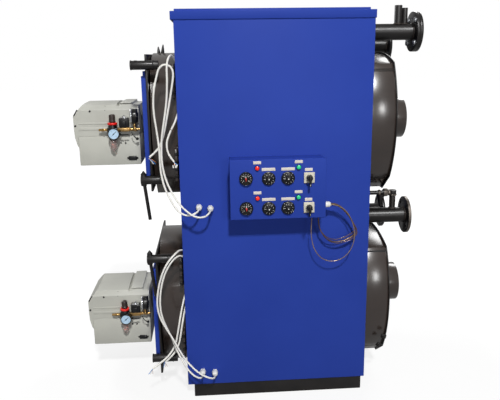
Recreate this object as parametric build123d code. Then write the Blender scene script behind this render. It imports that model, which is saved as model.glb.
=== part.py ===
"""Two-unit industrial boiler: a tall casing with two fire-tube boilers stacked inside it.

Frame: origin on the floor under the middle of the casing, +X towards the flues, +Y towards
the far side (the control box is on the -Y side), +Z up. All lengths are in millimetres.
"""
import math
import os

from build123d import *

os.makedirs("parts", exist_ok=True)

# Casing
CASING_HALF_X = 440
CASING_HALF_Y = 400
PLINTH_H = 70
PLINTH_SET_BACK = 8
SHEET = 2.5
RETURN_DEPTH = 25
FRONT_RECESS = 40
FASCIA_H = 36
FASCIA_FRONT = 14
FASCIA_REAR = 4
FASCIA_SIDE = 4
CROWN_H = 12
CROWN_SET_BACK = 45

# The two boiler units, one over the other; the casing's height follows from them
LOWER_AXIS_RISE = 360
UNIT_PITCH = 905
HEADROOM = 53
FLOW_RISE = 412
RETURN_RISE = 355
LOWER_AXIS = PLINTH_H + LOWER_AXIS_RISE
UPPER_AXIS = LOWER_AXIS + UNIT_PITCH
CASING_TOP = UPPER_AXIS + FLOW_RISE + HEADROOM

# Shell: a rolled drum with slack sides and a chamfered floor
SHELL_GAP = 84
SHELL_SIDE = CASING_HALF_Y - SHELL_GAP
SHELL_CROWN = 330
SHELL_SHOULDER = 76
SHELL_CORNER_Y = SHELL_SIDE - SHELL_SHOULDER
SHELL_CORNER_Z = 262
SHELL_FLOOR_Y = 150
SHELL_FLOOR_Z = -345
SHELL_WALL = 8
SHELL_REACH = 123
SHELL_FRONT_X = -CASING_HALF_X - SHELL_REACH
LUG_REACH = 22
LUG_T = 14
LUG_H = 150
LUG_X0 = -CASING_HALF_X - LUG_REACH

# Furnace
TUBE_PLATE_DEPTH = 43
TUBE_PLATE_X = SHELL_FRONT_X + TUBE_PLATE_DEPTH
TUBE_PLATE_T = 12
TUBE_ZONE = 166
TUBE_CIRCLE_INSET = 80
FURNACE_R = SHELL_SIDE - TUBE_ZONE
FURNACE_WALL = 8
FURNACE_END_GAP = 60
FURNACE_END_X = CASING_HALF_X - FURNACE_END_GAP
FIRE_TUBE_R = 24
FIRE_TUBE_CIRCLE_R = SHELL_SIDE - TUBE_CIRCLE_INSET
FIRE_TUBES = 12

# Door, cover and hinge; the doors sit a little off their shells' axes
UPPER_DOOR_RISE = 12
LOWER_DOOR_RISE = -22
DOOR_GAP = 5
DOOR_T = 10
DOOR_BACK_X = SHELL_FRONT_X - DOOR_GAP
DOOR_FRONT_X = DOOR_BACK_X - DOOR_T
DOOR_OVERLAP = 4
DOOR_HALF_W = SHELL_SIDE + DOOR_OVERLAP
DOOR_HALF_H = 312
COVER_DEPTH = 22
COVER_FRONT_X = DOOR_FRONT_X - COVER_DEPTH
COVER_HALF_W = DOOR_HALF_W - 20
COVER_HALF_H = 244
COVER_DROP = 6
COVER_STEP = 22
HINGE_X = DOOR_BACK_X - DOOR_T / 2
HINGE_REACH = 32
HINGE_Y = DOOR_HALF_W + HINGE_REACH
HINGE_PIN_R = 10
KNUCKLE_R = 18
HINGE_CLEARANCE = 0.05
BRACKET_GAP = 15
BRACKET_X = -CASING_HALF_X - BRACKET_GAP

# Clamp screws on the near side of the door
CLAMP_R = 20
CLAMP_REACH = 12
CLAMP_Y = -DOOR_HALF_W - CLAMP_REACH
CLAMP_TOP = 277
CLAMP_BOTTOM = -243
CLAMP_LENGTH = 124
UPPER_TOP_CLAMP_REACH = 78
UPPER_BOTTOM_CLAMP_REACH = 59
LOWER_CLAMP_REACH = 51
UPPER_TOP_CLAMP_X = SHELL_FRONT_X - UPPER_TOP_CLAMP_REACH
UPPER_BOTTOM_CLAMP_X = SHELL_FRONT_X - UPPER_BOTTOM_CLAMP_REACH
LOWER_CLAMP_X = SHELL_FRONT_X - LOWER_CLAMP_REACH
TEE_BOSS_R = 13
TEE_ROD_R = 8
TEE_ROD_DOWN = 190
TEE_ROD_UP = 30
TEE_LEAN = 6

# Burner, hung a little below the middle of its door
UPPER_BURNER_DROP = 57
LOWER_BURNER_DROP = 69
BURNER_GAP = 36
BURNER_BACK_X = COVER_FRONT_X - BURNER_GAP
BURNER_LENGTH = 312
BURNER_FRONT_X = BURNER_BACK_X - BURNER_LENGTH
HOOD_TAIL_T = 18
HOOD_TAIL_H = 54
HOOD_BEVEL = 58
HOOD_CROWN = 146
HOOD_SHOULDER = 136
HOOD_SIDE = 114
HOOD_CHAMFER = 22
BURNER_BASE_FRONT_X = BURNER_FRONT_X + HOOD_TAIL_T
BURNER_HALF_W = 150
BURNER_HALF_H = 154
BURNER_SPLIT = -12
BLAST_TUBE_R = 55
BLAST_TUBE_WALL = 4
BLAST_FLANGE_HALF = 85
BLAST_FLANGE_T = 12
BLAST_TUBE_RISE = 40
BLAST_TUBE_REACH = 130
BLAST_TUBE_END_X = COVER_FRONT_X + BLAST_TUBE_REACH

# Air train on the near side of the burner
MANIFOLD_RISE = 20
MANIFOLD_STAND_OFF = 34
MANIFOLD_HALF_H = 11
MANIFOLD_SET_BACK = 4
MANIFOLD_LENGTH = 94
MANIFOLD_X1 = BURNER_BACK_X - MANIFOLD_SET_BACK
MANIFOLD_X0 = MANIFOLD_X1 - MANIFOLD_LENGTH
SOLENOID_W = 43
SOLENOID_X0 = MANIFOLD_X0 + 6
SOLENOID_X1 = SOLENOID_X0 + SOLENOID_W
SOLENOID_H = 45
REGULATOR_SET_BACK = 124
REGULATOR_X = BURNER_BACK_X - REGULATOR_SET_BACK
REGULATOR_R = 20

# Smoke boxes and flues
SMOKE_GAP = 68
SMOKE_SIDE = CASING_HALF_Y - SMOKE_GAP
SMOKE_CROWN = 313
SMOKE_SHOULDER = 82
SMOKE_CORNER_Y = SMOKE_SIDE - SMOKE_SHOULDER
SMOKE_CORNER_Z = 266
SMOKE_FLOOR_Y = 137
SMOKE_FLOOR_Z = -348
SMOKE_REACH = 136
SMOKE_END_X = CASING_HALF_X + SMOKE_REACH
SMOKE_WALL = 5
END_PLATE_LIP = 8
FLUE_R = 102
FLUE_WALL = 3
FLUE_DROP = 12
FLUE_REACH = 124
FLUE_END_X = SMOKE_END_X + FLUE_REACH

# Water pipes, DN65 with flanges
PIPE_R = 38.05
PIPE_WALL = 3.6
FLANGE_R = 92.5
FLANGE_T = 14
FLANGE_PCD = 145
FLANGE_BOLTS = 4
FLANGE_HOLE_R = 9
FLOW_Y = -160
RETURN_Y = 160
UPPER_FLOW_REACH = 270
LOWER_FLOW_REACH = 257
RETURN_REACH = 222
PIPE_START_DEPTH = 150
PIPE_LEG_DEPTH = 95
BORE_START_DEPTH = 40
UPPER_FLOW_END_X = CASING_HALF_X + UPPER_FLOW_REACH
LOWER_FLOW_END_X = CASING_HALF_X + LOWER_FLOW_REACH
RETURN_END_X = CASING_HALF_X + RETURN_REACH
PIPE_START_X = CASING_HALF_X - PIPE_START_DEPTH
PIPE_LEG_X = CASING_HALF_X - PIPE_LEG_DEPTH
BORE_START_X = CASING_HALF_X - BORE_START_DEPTH
TALL_STUB_R = 18
TALL_STUB_H = 84
SHORT_STUB_R = 13
SHORT_STUB_H = 72
STUB_WALL = 3.2
STUB_SPACING = 32
TALL_STUB_SET_BACK = 96
TALL_STUB_X = UPPER_FLOW_END_X - TALL_STUB_SET_BACK
THREADED_STUB_R = 15
THREADED_STUB_H = 68
THREADED_STUB_SET_BACK = 74
THREADED_STUB_X = LOWER_FLOW_END_X - THREADED_STUB_SET_BACK

# Control box
BOX_X0 = -217
BOX_X1 = 211
BOX_Z0 = 935
BOX_Z1 = 1205
BOX_DEPTH = 110
BOX_FRONT_Y = -CASING_HALF_Y - BOX_DEPTH
COIL_STAND_OFF = 58
COIL_RISE = 47
COIL_Y = -CASING_HALF_Y - COIL_STAND_OFF
COIL_Z = BOX_Z0 + COIL_RISE
ROW_DROP = 85
ROW_PITCH = 135
ROWS_Z = (BOX_Z1 - ROW_DROP, BOX_Z1 - ROW_DROP - ROW_PITCH)
THERMOMETER_INSET = 71
THERMOMETER_RISE = 3
THERMOSTAT_INSET = 171
THERMOSTAT_PITCH = 86
RED_LAMP_INSET = 121
GREEN_LAMP_INSET = 304
SWITCH_INSET = 351
LAMP_RISE = 48
DIAL_R = 30
DIAL_T = 14
KNOB_T = 26
LAMP_R = 11
LAMP_T = 12
PLATE_HALF = 24
PLATE_T = 8
BOSS_T = 6


def save(shape, name):
    """Write one node as a STEP file."""
    export_step(shape, f"parts/{name}.step")


def solid_box(x0, x1, y0, y1, z0, z1):
    """A box given by its limits."""
    block = Box(x1 - x0, y1 - y0, z1 - z0)
    return Pos((x0 + x1) / 2, (y0 + y1) / 2, (z0 + z1) / 2) * block


def rod_x(x0, x1, y, z, radius):
    """A cylinder along X."""
    return Pos((x0 + x1) / 2, y, z) * Rot(0, 90, 0) * Cylinder(radius, x1 - x0)


def rod_y(y0, y1, x, z, radius):
    """A cylinder along Y."""
    return Pos(x, (y0 + y1) / 2, z) * Rot(90, 0, 0) * Cylinder(radius, y1 - y0)


def rod_z(z0, z1, x, y, radius):
    """A cylinder along Z."""
    return Pos(x, y, (z0 + z1) / 2) * Cylinder(radius, z1 - z0)


def drum_section(side, crown, corner_y, corner_z, floor_y, floor_z):
    """A drum's cross-section in Y and Z: three slack arcs over a chamfered floor."""
    top = ThreePointArc((-corner_y, corner_z), (0, crown), (corner_y, corner_z))
    right = ThreePointArc((corner_y, corner_z), (side, 0), (corner_y, -corner_z))
    low_right = Line((corner_y, -corner_z), (floor_y, floor_z))
    low = Line((floor_y, floor_z), (-floor_y, floor_z))
    low_left = Line((-floor_y, floor_z), (-corner_y, -corner_z))
    left = ThreePointArc((-corner_y, -corner_z), (-side, 0), (-corner_y, corner_z))
    return make_face(Wire([top, right, low_right, low, low_left, left]))


def along_x(section, x0, x1, axis_z):
    """Extrude a section drawn in (Y, Z) from x0 to x1, about a unit's axis."""
    plane = Plane(origin=(x0, 0, axis_z), x_dir=(0, 1, 0), z_dir=(1, 0, 0))
    return extrude(plane * section, x1 - x0)


def shell_section(inset=0.0):
    """Cross-section of the shell, or of its bore when inset."""
    return drum_section(SHELL_SIDE - inset, SHELL_CROWN - inset, SHELL_CORNER_Y - inset,
                        SHELL_CORNER_Z - inset, SHELL_FLOOR_Y - inset / 2, SHELL_FLOOR_Z + inset)


def smoke_section(inset=0.0):
    """Cross-section of the smoke box, with its chamfered floor."""
    return drum_section(SMOKE_SIDE - inset, SMOKE_CROWN - inset, SMOKE_CORNER_Y - inset,
                        SMOKE_CORNER_Z - inset, SMOKE_FLOOR_Y - inset / 2, SMOKE_FLOOR_Z + inset)


# Casing

def base_frame():
    """Rectangular plinth frame with a cross-member under the middle."""
    rail = 60
    x0, x1 = -CASING_HALF_X + 30, CASING_HALF_X - 14
    y = CASING_HALF_Y - PLINTH_SET_BACK
    frame = solid_box(x0, x1, -y, y, 0, PLINTH_H)
    frame -= solid_box(x0 + rail, x1 - rail, -y + rail, y - rail, 0, PLINTH_H)
    frame += solid_box(-40, 40, -y + rail, y - rail, 0, PLINTH_H)
    return frame


def side_panel(sign):
    """Side panel with its edges folded inwards."""
    y_out = sign * CASING_HALF_Y
    y_skin = sign * (CASING_HALF_Y - SHEET)
    y_in = sign * (CASING_HALF_Y - RETURN_DEPTH)
    lo, hi = min(y_out, y_in), max(y_out, y_in)
    panel = solid_box(-CASING_HALF_X, CASING_HALF_X, lo, hi, PLINTH_H, CASING_TOP)
    lo, hi = min(y_skin, y_in), max(y_skin, y_in)
    inner = CASING_HALF_X - SHEET
    panel -= solid_box(-inner, inner, lo, hi, PLINTH_H + SHEET, CASING_TOP - SHEET)
    return panel


def front_casing_panel():
    """Sheet behind the side panels' front edges, cut out around both shells."""
    y = CASING_HALF_Y - SHEET
    x = -CASING_HALF_X + FRONT_RECESS
    panel = solid_box(x, x + SHEET, -y, y, PLINTH_H + SHEET, CASING_TOP - SHEET)
    for axis_z in (LOWER_AXIS, UPPER_AXIS):
        panel -= along_x(shell_section(), x - 1, x + SHEET + 1, axis_z)
    return panel


def rear_casing_panel():
    """Rear sheet, cut out around both smoke boxes and the four water pipes."""
    y = CASING_HALF_Y - RETURN_DEPTH
    x = CASING_HALF_X - SHEET
    panel = solid_box(x, x + SHEET, -y, y, PLINTH_H + SHEET, CASING_TOP - SHEET)
    for axis_z in (LOWER_AXIS, UPPER_AXIS):
        panel -= along_x(smoke_section(), x - 1, x + SHEET + 1, axis_z)
        for pipe_y, rise in ((FLOW_Y, FLOW_RISE), (RETURN_Y, RETURN_RISE)):
            panel -= rod_x(x - 1, x + SHEET + 1, pipe_y, axis_z + rise, PIPE_R)
    return panel


def top_cap():
    """Folded cap: an overhanging fascia with a raised centre."""
    x0 = -CASING_HALF_X - FASCIA_FRONT
    x1 = CASING_HALF_X + FASCIA_REAR
    y = CASING_HALF_Y + FASCIA_SIDE
    z1 = CASING_TOP + FASCIA_H
    cap = solid_box(x0, x1, -y, y, CASING_TOP, z1)
    crown_y = y - CROWN_SET_BACK
    cap += solid_box(x0 + 16, x1 - 16, -crown_y, crown_y, z1, z1 + CROWN_H)
    hollow_x = CASING_HALF_X - RETURN_DEPTH
    hollow_y = CASING_HALF_Y - RETURN_DEPTH
    cap -= solid_box(-hollow_x, hollow_x, -hollow_y, hollow_y, CASING_TOP, z1 - SHEET)
    return cap


# One boiler unit

def shell(axis_z):
    """Shell from the door to the rear panel, with two clamp lugs on its near side."""
    rear_x = CASING_HALF_X - SHEET
    body = along_x(shell_section(), SHELL_FRONT_X, rear_x, axis_z)
    lug_y = CLAMP_Y - 18
    for z in (CLAMP_TOP, CLAMP_BOTTOM):
        lug_z = axis_z + z - math.copysign(70, z)
        body += solid_box(LUG_X0, LUG_X0 + LUG_T, lug_y, lug_y + 150,
                          lug_z - LUG_H / 2, lug_z + LUG_H / 2)
    body -= along_x(shell_section(SHELL_WALL), SHELL_FRONT_X, rear_x, axis_z)
    return body


def tube_plate(axis_z):
    """Front tube plate with the furnace mouth and a ring of fire-tube holes."""
    x1 = TUBE_PLATE_X + TUBE_PLATE_T
    body = along_x(shell_section(SHELL_WALL), TUBE_PLATE_X, x1, axis_z)
    body -= rod_x(TUBE_PLATE_X, x1, 0, axis_z, FURNACE_R + FURNACE_WALL)
    for i in range(FIRE_TUBES):
        angle = math.radians(360 * (i + 0.5) / FIRE_TUBES)
        y = FIRE_TUBE_CIRCLE_R * math.cos(angle)
        z = FIRE_TUBE_CIRCLE_R * math.sin(angle)
        body -= rod_x(TUBE_PLATE_X, x1, y, axis_z + z, FIRE_TUBE_R)
    return body


def furnace(axis_z):
    """Furnace tube, from the tube plate to its end."""
    end_x = FURNACE_END_X - FURNACE_WALL
    body = rod_x(TUBE_PLATE_X, end_x, 0, axis_z, FURNACE_R + FURNACE_WALL)
    body -= rod_x(TUBE_PLATE_X, end_x, 0, axis_z, FURNACE_R)
    return body


def furnace_end(axis_z):
    """Disc that closes the furnace tube."""
    return rod_x(FURNACE_END_X - FURNACE_WALL, FURNACE_END_X, 0, axis_z, FURNACE_R + FURNACE_WALL)


def door(axis_z, door_z, burner_z):
    """Square door plate with its hinge knuckles on the far side."""
    body = solid_box(DOOR_FRONT_X, DOOR_BACK_X, -DOOR_HALF_W, DOOR_HALF_W,
                     door_z - DOOR_HALF_H, door_z + DOOR_HALF_H)
    for z in (-200, 200):
        z0, z1 = axis_z + z - 30, axis_z + z + 30
        body += rod_z(z0, z1, HINGE_X, HINGE_Y, KNUCKLE_R)
        body += solid_box(DOOR_FRONT_X, DOOR_BACK_X, DOOR_HALF_W, HINGE_Y, z0, z1)
        body -= rod_z(z0 - 1, z1 + 1, HINGE_X, HINGE_Y, HINGE_PIN_R + HINGE_CLEARANCE)
    body -= rod_x(DOOR_FRONT_X, DOOR_BACK_X, 0, burner_z + BLAST_TUBE_RISE, BLAST_TUBE_R)
    for z in (CLAMP_TOP, CLAMP_BOTTOM):
        body -= rod_x(DOOR_FRONT_X, DOOR_BACK_X, CLAMP_Y, axis_z + z, CLAMP_R)
    return body


def door_cover(door_z, burner_z):
    """Blue tray over the door, stepped along its top edge."""
    z0 = door_z - COVER_DROP - COVER_HALF_H
    z1 = door_z - COVER_DROP + COVER_HALF_H
    half_w = COVER_HALF_W
    tray = solid_box(COVER_FRONT_X, DOOR_FRONT_X, -half_w, half_w, z0, z1)
    tray -= solid_box(COVER_FRONT_X + SHEET, DOOR_FRONT_X, -half_w + SHEET, half_w - SHEET,
                      z0 + SHEET, z1 - SHEET)
    tray -= solid_box(COVER_FRONT_X, COVER_FRONT_X + 8, -half_w, half_w, z1 - COVER_STEP, z1)
    tray += solid_box(COVER_FRONT_X + 8, COVER_FRONT_X + 8 + SHEET, -half_w, half_w,
                      z1 - COVER_STEP - SHEET, z1)
    tray += solid_box(COVER_FRONT_X, COVER_FRONT_X + 8, -half_w, half_w,
                      z1 - COVER_STEP - SHEET, z1 - COVER_STEP)
    tray -= rod_x(COVER_FRONT_X, DOOR_FRONT_X, 0, burner_z + BLAST_TUBE_RISE, BLAST_TUBE_R)
    return tray


def hinge_pin(axis_z):
    """Hinge brackets on the shell's far side, with the pin through the door's knuckles."""
    body = rod_z(axis_z - 240, axis_z + 240, HINGE_X, HINGE_Y, HINGE_PIN_R)
    for z in (-145, 145):
        z0, z1 = axis_z + z - 20, axis_z + z + 20
        body += rod_z(z0, z1, HINGE_X, HINGE_Y, KNUCKLE_R)
        body += solid_box(HINGE_X, BRACKET_X, HINGE_Y - 5, HINGE_Y + 5, z0, z1)
        body += solid_box(BRACKET_X - 55, BRACKET_X, SHELL_SIDE - 46, HINGE_Y + 5, z0, z1)
    body -= along_x(shell_section(), SHELL_FRONT_X, -CASING_HALF_X, axis_z)
    return body


def clamp_screws(axis_z, top_x, bottom_x, handle_at):
    """Two clamp sleeves through the door plate's near edge, one of them with a tee handle."""
    body = rod_x(top_x, top_x + CLAMP_LENGTH, CLAMP_Y, axis_z + CLAMP_TOP, CLAMP_R)
    body += rod_x(bottom_x, bottom_x + CLAMP_LENGTH, CLAMP_Y, axis_z + CLAMP_BOTTOM, CLAMP_R)
    handle_x = (top_x if handle_at == CLAMP_TOP else bottom_x) + TEE_BOSS_R
    z = axis_z + handle_at
    body += rod_z(z - 26, z + 26, handle_x, CLAMP_Y, TEE_BOSS_R)
    middle = (TEE_ROD_UP - TEE_ROD_DOWN) / 2
    rod = Pos(0, 0, middle) * Cylinder(TEE_ROD_R, TEE_ROD_UP + TEE_ROD_DOWN)
    body += Pos(handle_x, CLAMP_Y, z) * Rot(0, -TEE_LEAN, 0) * rod
    return body


def burner_base(burner_z):
    """Lower box of the burner."""
    base = solid_box(BURNER_BASE_FRONT_X, BURNER_BACK_X, -BURNER_HALF_W, BURNER_HALF_W,
                     burner_z - BURNER_HALF_H, burner_z + BURNER_SPLIT)
    return fillet(base.edges().filter_by(Axis.Z).group_by(Axis.X)[-1], 6)


def burner_hood(burner_z):
    """Upper hood, crowned, bevelled at its outer end, with a tail down over the base."""
    z0, z1 = burner_z + BURNER_SPLIT, burner_z + BURNER_HALF_H
    x0, x1 = BURNER_FRONT_X, BURNER_BACK_X
    tail_x = x0 + HOOD_TAIL_T
    profile = Polyline((x0, z1 - HOOD_BEVEL - 8), (x0 + HOOD_BEVEL, z1), (x1, z1), (x1, z0),
                       (tail_x, z0), (tail_x, z0 - HOOD_TAIL_H),
                       (x0 + 0.6 * HOOD_TAIL_T, z0 - 0.78 * HOOD_TAIL_H),
                       (x0 + 0.1 * HOOD_TAIL_T, z0 - 0.06 * HOOD_TAIL_H),
                       (x0, z0 + 0.67 * HOOD_TAIL_H), close=True)
    hood = extrude(Plane.XZ * make_face(profile), BURNER_HALF_W, both=True)
    shoulder_y = BURNER_HALF_W - HOOD_CHAMFER
    crown = ThreePointArc((-shoulder_y, HOOD_SHOULDER), (0, HOOD_CROWN), (shoulder_y, HOOD_SHOULDER))
    sides = Polyline((shoulder_y, HOOD_SHOULDER), (BURNER_HALF_W, HOOD_SIDE),
                     (BURNER_HALF_W, -BURNER_HALF_H), (-BURNER_HALF_W, -BURNER_HALF_H),
                     (-BURNER_HALF_W, HOOD_SIDE), (-shoulder_y, HOOD_SHOULDER))
    section = make_face(Wire([crown] + sides.edges()))
    return hood & along_x(section, x0, x1, burner_z)


def blast_tube(burner_z):
    """Burner nozzle through the cover and the door, with its mounting flange."""
    z = burner_z + BLAST_TUBE_RISE
    half = BLAST_FLANGE_HALF
    tube = rod_x(BURNER_BACK_X, BLAST_TUBE_END_X, 0, z, BLAST_TUBE_R)
    tube += solid_box(COVER_FRONT_X - BLAST_FLANGE_T, COVER_FRONT_X, -half, half, z - half, z + half)
    tube -= rod_x(DOOR_BACK_X, BLAST_TUBE_END_X, 0, z, BLAST_TUBE_R - BLAST_TUBE_WALL)
    return tube


def air_manifold(burner_z):
    """Brass air manifold with its solenoid valve and pressure gauge."""
    y = -BURNER_HALF_W
    y0 = y - MANIFOLD_STAND_OFF
    z = burner_z + MANIFOLD_RISE
    top = z + MANIFOLD_HALF_H
    body = solid_box(MANIFOLD_X0, MANIFOLD_X1, y0, y0 + 22, z - MANIFOLD_HALF_H, top)
    body += solid_box(SOLENOID_X0, SOLENOID_X1, y0 - 10, y - 4, top, top + SOLENOID_H)
    body += rod_y(y0 + 4, y, MANIFOLD_X1 - 20, z, 9)
    body += rod_z(z, z + 32, MANIFOLD_X1 - 12, y0, 7)
    body += rod_x(MANIFOLD_X1 - 32, MANIFOLD_X1 + 4, y0 - 6, z + 65, 36)
    return body


def regulator(burner_z):
    """Pressure regulator with its knob, small gauge and filter bowl."""
    x, y = REGULATOR_X, -BURNER_HALF_W - 24
    z = burner_z + MANIFOLD_RISE
    body = rod_z(z - 50, z + 24, x, y, REGULATOR_R)
    body += rod_z(z + 24, z + 34, x, y, REGULATOR_R + 3)
    body += rod_z(z + 34, z + 74, x, y, REGULATOR_R - 4)
    body += rod_z(z - 107, z - 50, x, y, REGULATOR_R - 3)
    body += rod_y(y - 34, y, x, z - 24, 26)
    body += rod_x(x, MANIFOLD_X0, y, z, 8)
    body += rod_x(x - 66, x, y, z, 6)
    return body


def smoke_box(axis_z):
    """Rolled smoke box shell behind the casing."""
    body = along_x(smoke_section(), CASING_HALF_X - SHEET, SMOKE_END_X - SMOKE_WALL, axis_z)
    body -= along_x(smoke_section(SMOKE_WALL), CASING_HALF_X - SHEET, SMOKE_END_X - SMOKE_WALL, axis_z)
    return body


def smoke_box_end(axis_z):
    """Smoke box end plate with the flue hole; its rim stands a little proud all round."""
    body = along_x(smoke_section(-END_PLATE_LIP), SMOKE_END_X - SMOKE_WALL, SMOKE_END_X, axis_z)
    body -= rod_x(SMOKE_END_X - SMOKE_WALL, SMOKE_END_X, 0, axis_z - FLUE_DROP, FLUE_R)
    return body


def flue_collar(axis_z):
    """Round flue collar."""
    z = axis_z - FLUE_DROP
    body = rod_x(SMOKE_END_X - SMOKE_WALL, FLUE_END_X, 0, z, FLUE_R)
    body -= rod_x(SMOKE_END_X - SMOKE_WALL, FLUE_END_X, 0, z, FLUE_R - FLUE_WALL)
    return body


def flange(x0, y, z):
    """A DN65 flange with four bolt holes, its face towards +X."""
    ring = rod_x(x0, x0 + FLANGE_T, y, z, FLANGE_R)
    ring -= rod_x(x0, x0 + FLANGE_T, y, z, PIPE_R - PIPE_WALL)
    for i in range(FLANGE_BOLTS):
        angle = math.radians(45 + 360 * i / FLANGE_BOLTS)
        hole_y = y + FLANGE_PCD / 2 * math.cos(angle)
        hole_z = z + FLANGE_PCD / 2 * math.sin(angle)
        ring -= rod_x(x0, x0 + FLANGE_T, hole_y, hole_z, FLANGE_HOLE_R)
    return ring


def water_pipe(axis_z, y, rise, end_x):
    """Pipe from the shell's crown, out through the rear panel, to its flange."""
    z = axis_z + rise
    pipe = rod_x(PIPE_START_X, end_x - FLANGE_T, y, z, PIPE_R)
    leg = rod_z(axis_z + SHELL_CORNER_Z - 12, z, PIPE_LEG_X, y, PIPE_R - 4)
    leg -= along_x(shell_section(), PIPE_START_X - PIPE_R, BORE_START_X, axis_z)
    body = pipe + leg
    body -= rod_x(BORE_START_X, end_x - FLANGE_T, y, z, PIPE_R - PIPE_WALL)
    body += flange(end_x - FLANGE_T, y, z)
    return body


def stub(x, z, radius, height):
    """Open vertical stub that stands on a flow pipe."""
    body = rod_z(z + PIPE_R - 6, z + PIPE_R + height, x, FLOW_Y, radius)
    body -= rod_z(z, z + PIPE_R + height, x, FLOW_Y, radius - STUB_WALL)
    return body


def upper_flow_pipe():
    """Upper flow pipe with two vertical stubs near its flange."""
    z = UPPER_AXIS + FLOW_RISE
    body = water_pipe(UPPER_AXIS, FLOW_Y, FLOW_RISE, UPPER_FLOW_END_X - FLANGE_T)
    body += stub(TALL_STUB_X, z, TALL_STUB_R, TALL_STUB_H)
    body += stub(TALL_STUB_X + STUB_SPACING, z, SHORT_STUB_R, SHORT_STUB_H)
    return body


def lower_flow_pipe():
    """Lower flow pipe with a threaded vertical stub."""
    z = LOWER_AXIS + FLOW_RISE
    body = water_pipe(LOWER_AXIS, FLOW_Y, FLOW_RISE, LOWER_FLOW_END_X)
    body += stub(THREADED_STUB_X, z, THREADED_STUB_R, THREADED_STUB_H)
    return body


def lower_flow_fitting():
    """Elbow on the threaded stub, with a run and a union towards the casing and a tapered drain."""
    x = THREADED_STUB_X
    z = LOWER_AXIS + FLOW_RISE + PIPE_R + THREADED_STUB_H
    body = rod_z(z, z + 24, x, FLOW_Y, THREADED_STUB_R + 4)
    body += rod_x(x - 123, x, FLOW_Y, z + 12, 10.6)
    body += rod_x(x - 50, x - 26, FLOW_Y, z + 12, 17)
    body += Pos(x - 62, FLOW_Y, z - 28) * Cone(6, 22, 64)
    return body


# Control box

def control_box():
    """Closed box on the near side panel, with its cover set in at the top."""
    y1 = -CASING_HALF_Y
    body = solid_box(BOX_X0, BOX_X1, BOX_FRONT_Y, y1, BOX_Z0, BOX_Z1)
    body -= solid_box(BOX_X0 + SHEET, BOX_X1 - SHEET, BOX_FRONT_Y + SHEET, y1,
                      BOX_Z0 + SHEET, BOX_Z1 - SHEET)
    return body


def dial(x, z, radius, depth):
    """One round instrument on the control box's face."""
    return rod_y(BOX_FRONT_Y - depth, BOX_FRONT_Y, x, z, radius)


THERMOMETERS = [(BOX_X0 + THERMOMETER_INSET, row_z + THERMOMETER_RISE) for row_z in ROWS_Z]
THERMOSTATS = [(BOX_X0 + THERMOSTAT_INSET + step * THERMOSTAT_PITCH, row_z)
               for row_z in ROWS_Z for step in (0, 1)]
RED_LAMPS = [(BOX_X0 + RED_LAMP_INSET, row_z + LAMP_RISE) for row_z in ROWS_Z]
GREEN_LAMPS = [(BOX_X0 + GREEN_LAMP_INSET, row_z + LAMP_RISE) for row_z in ROWS_Z]
SWITCHES = [(BOX_X0 + SWITCH_INSET, row_z) for row_z in ROWS_Z]


def switch_plate(x, z):
    """Square switch plate with its short boss."""
    face_y = BOX_FRONT_Y - PLATE_T
    plate = solid_box(x - PLATE_HALF, x + PLATE_HALF, face_y, BOX_FRONT_Y,
                      z - PLATE_HALF, z + PLATE_HALF)
    plate += rod_y(face_y - BOSS_T, face_y, x, z, 14)
    return plate


def switch_knob(x, z):
    """Lever knob that points down at rest."""
    boss_y = BOX_FRONT_Y - PLATE_T - BOSS_T
    knob = rod_y(boss_y - 20, boss_y, x, z, 13)
    knob += solid_box(x - 5, x + 5, boss_y - 28, boss_y - 8, z - 28, z + 13)
    return knob


def control_gland():
    """White gland on the right end of the control box."""
    body = rod_x(BOX_X1, BOX_X1 + 8, COIL_Y, COIL_Z, 15)
    body += rod_x(BOX_X1 + 8, BOX_X1 + 30, COIL_Y, COIL_Z, 13)
    return body


def gland(x, z):
    """White cable gland standing on the near side panel."""
    y = -CASING_HALF_Y
    body = rod_y(y - 10, y, x, z, 15)
    body += rod_y(y - 34, y - 10, x, z, 12)
    return body


UPPER_GLANDS = ((83 - CASING_HALF_X, 973), (135 - CASING_HALF_X, 967))
LOWER_GLANDS = ((74 - CASING_HALF_X, 141), (133 - CASING_HALF_X, 135))

# Free leads: the routes' points, from the gland to the free end

LEAD_R = 4.5
BUNDLE_R = 7
CAPILLARY_R = 2

UPPER_LEAD_A = (
    (-357, -434, 973), (-357, -466, 973), (-382, -486, 958), (-420, -484, 956),
    (-455, -472, 979), (-485, -458, 1030), (-509, -449, 1086), (-522, -440, 1154),
    (-522, -431, 1245), (-531, -431, 1335), (-541, -431, 1420), (-536, -430, 1505),
    (-519, -428, 1566), (-510, -427, 1598), (-485, -427, 1617), (-456, -427, 1606),
    (-447, -427, 1578), (-452, -427, 1543), (-461, -427, 1495), (-470, -426, 1450),
    (-480, -425, 1405), (-494, -424, 1340), (-511, -420, 1280), (-532, -420, 1242),
    (-568, -426, 1214),
)
UPPER_LEAD_B = (
    (-305, -434, 967), (-305, -468, 967), (-328, -496, 950), (-366, -505, 950),
    (-404, -500, 972), (-444, -488, 1012), (-481, -468, 1072), (-503, -456, 1130),
    (-513, -452, 1190), (-513, -446, 1250), (-508, -448, 1310), (-492, -447, 1390),
    (-479, -446, 1470), (-474, -446, 1550), (-474, -445, 1612), (-464, -420, 1650),
    (-451, -374, 1654), (-430, -350, 1612), (-422, -350, 1540), (-424, -350, 1470),
    (-434, -358, 1412), (-450, -378, 1364), (-476, -390, 1318), (-495, -391, 1268),
    (-487, -391, 1216), (-462, -400, 1186),
)
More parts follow.
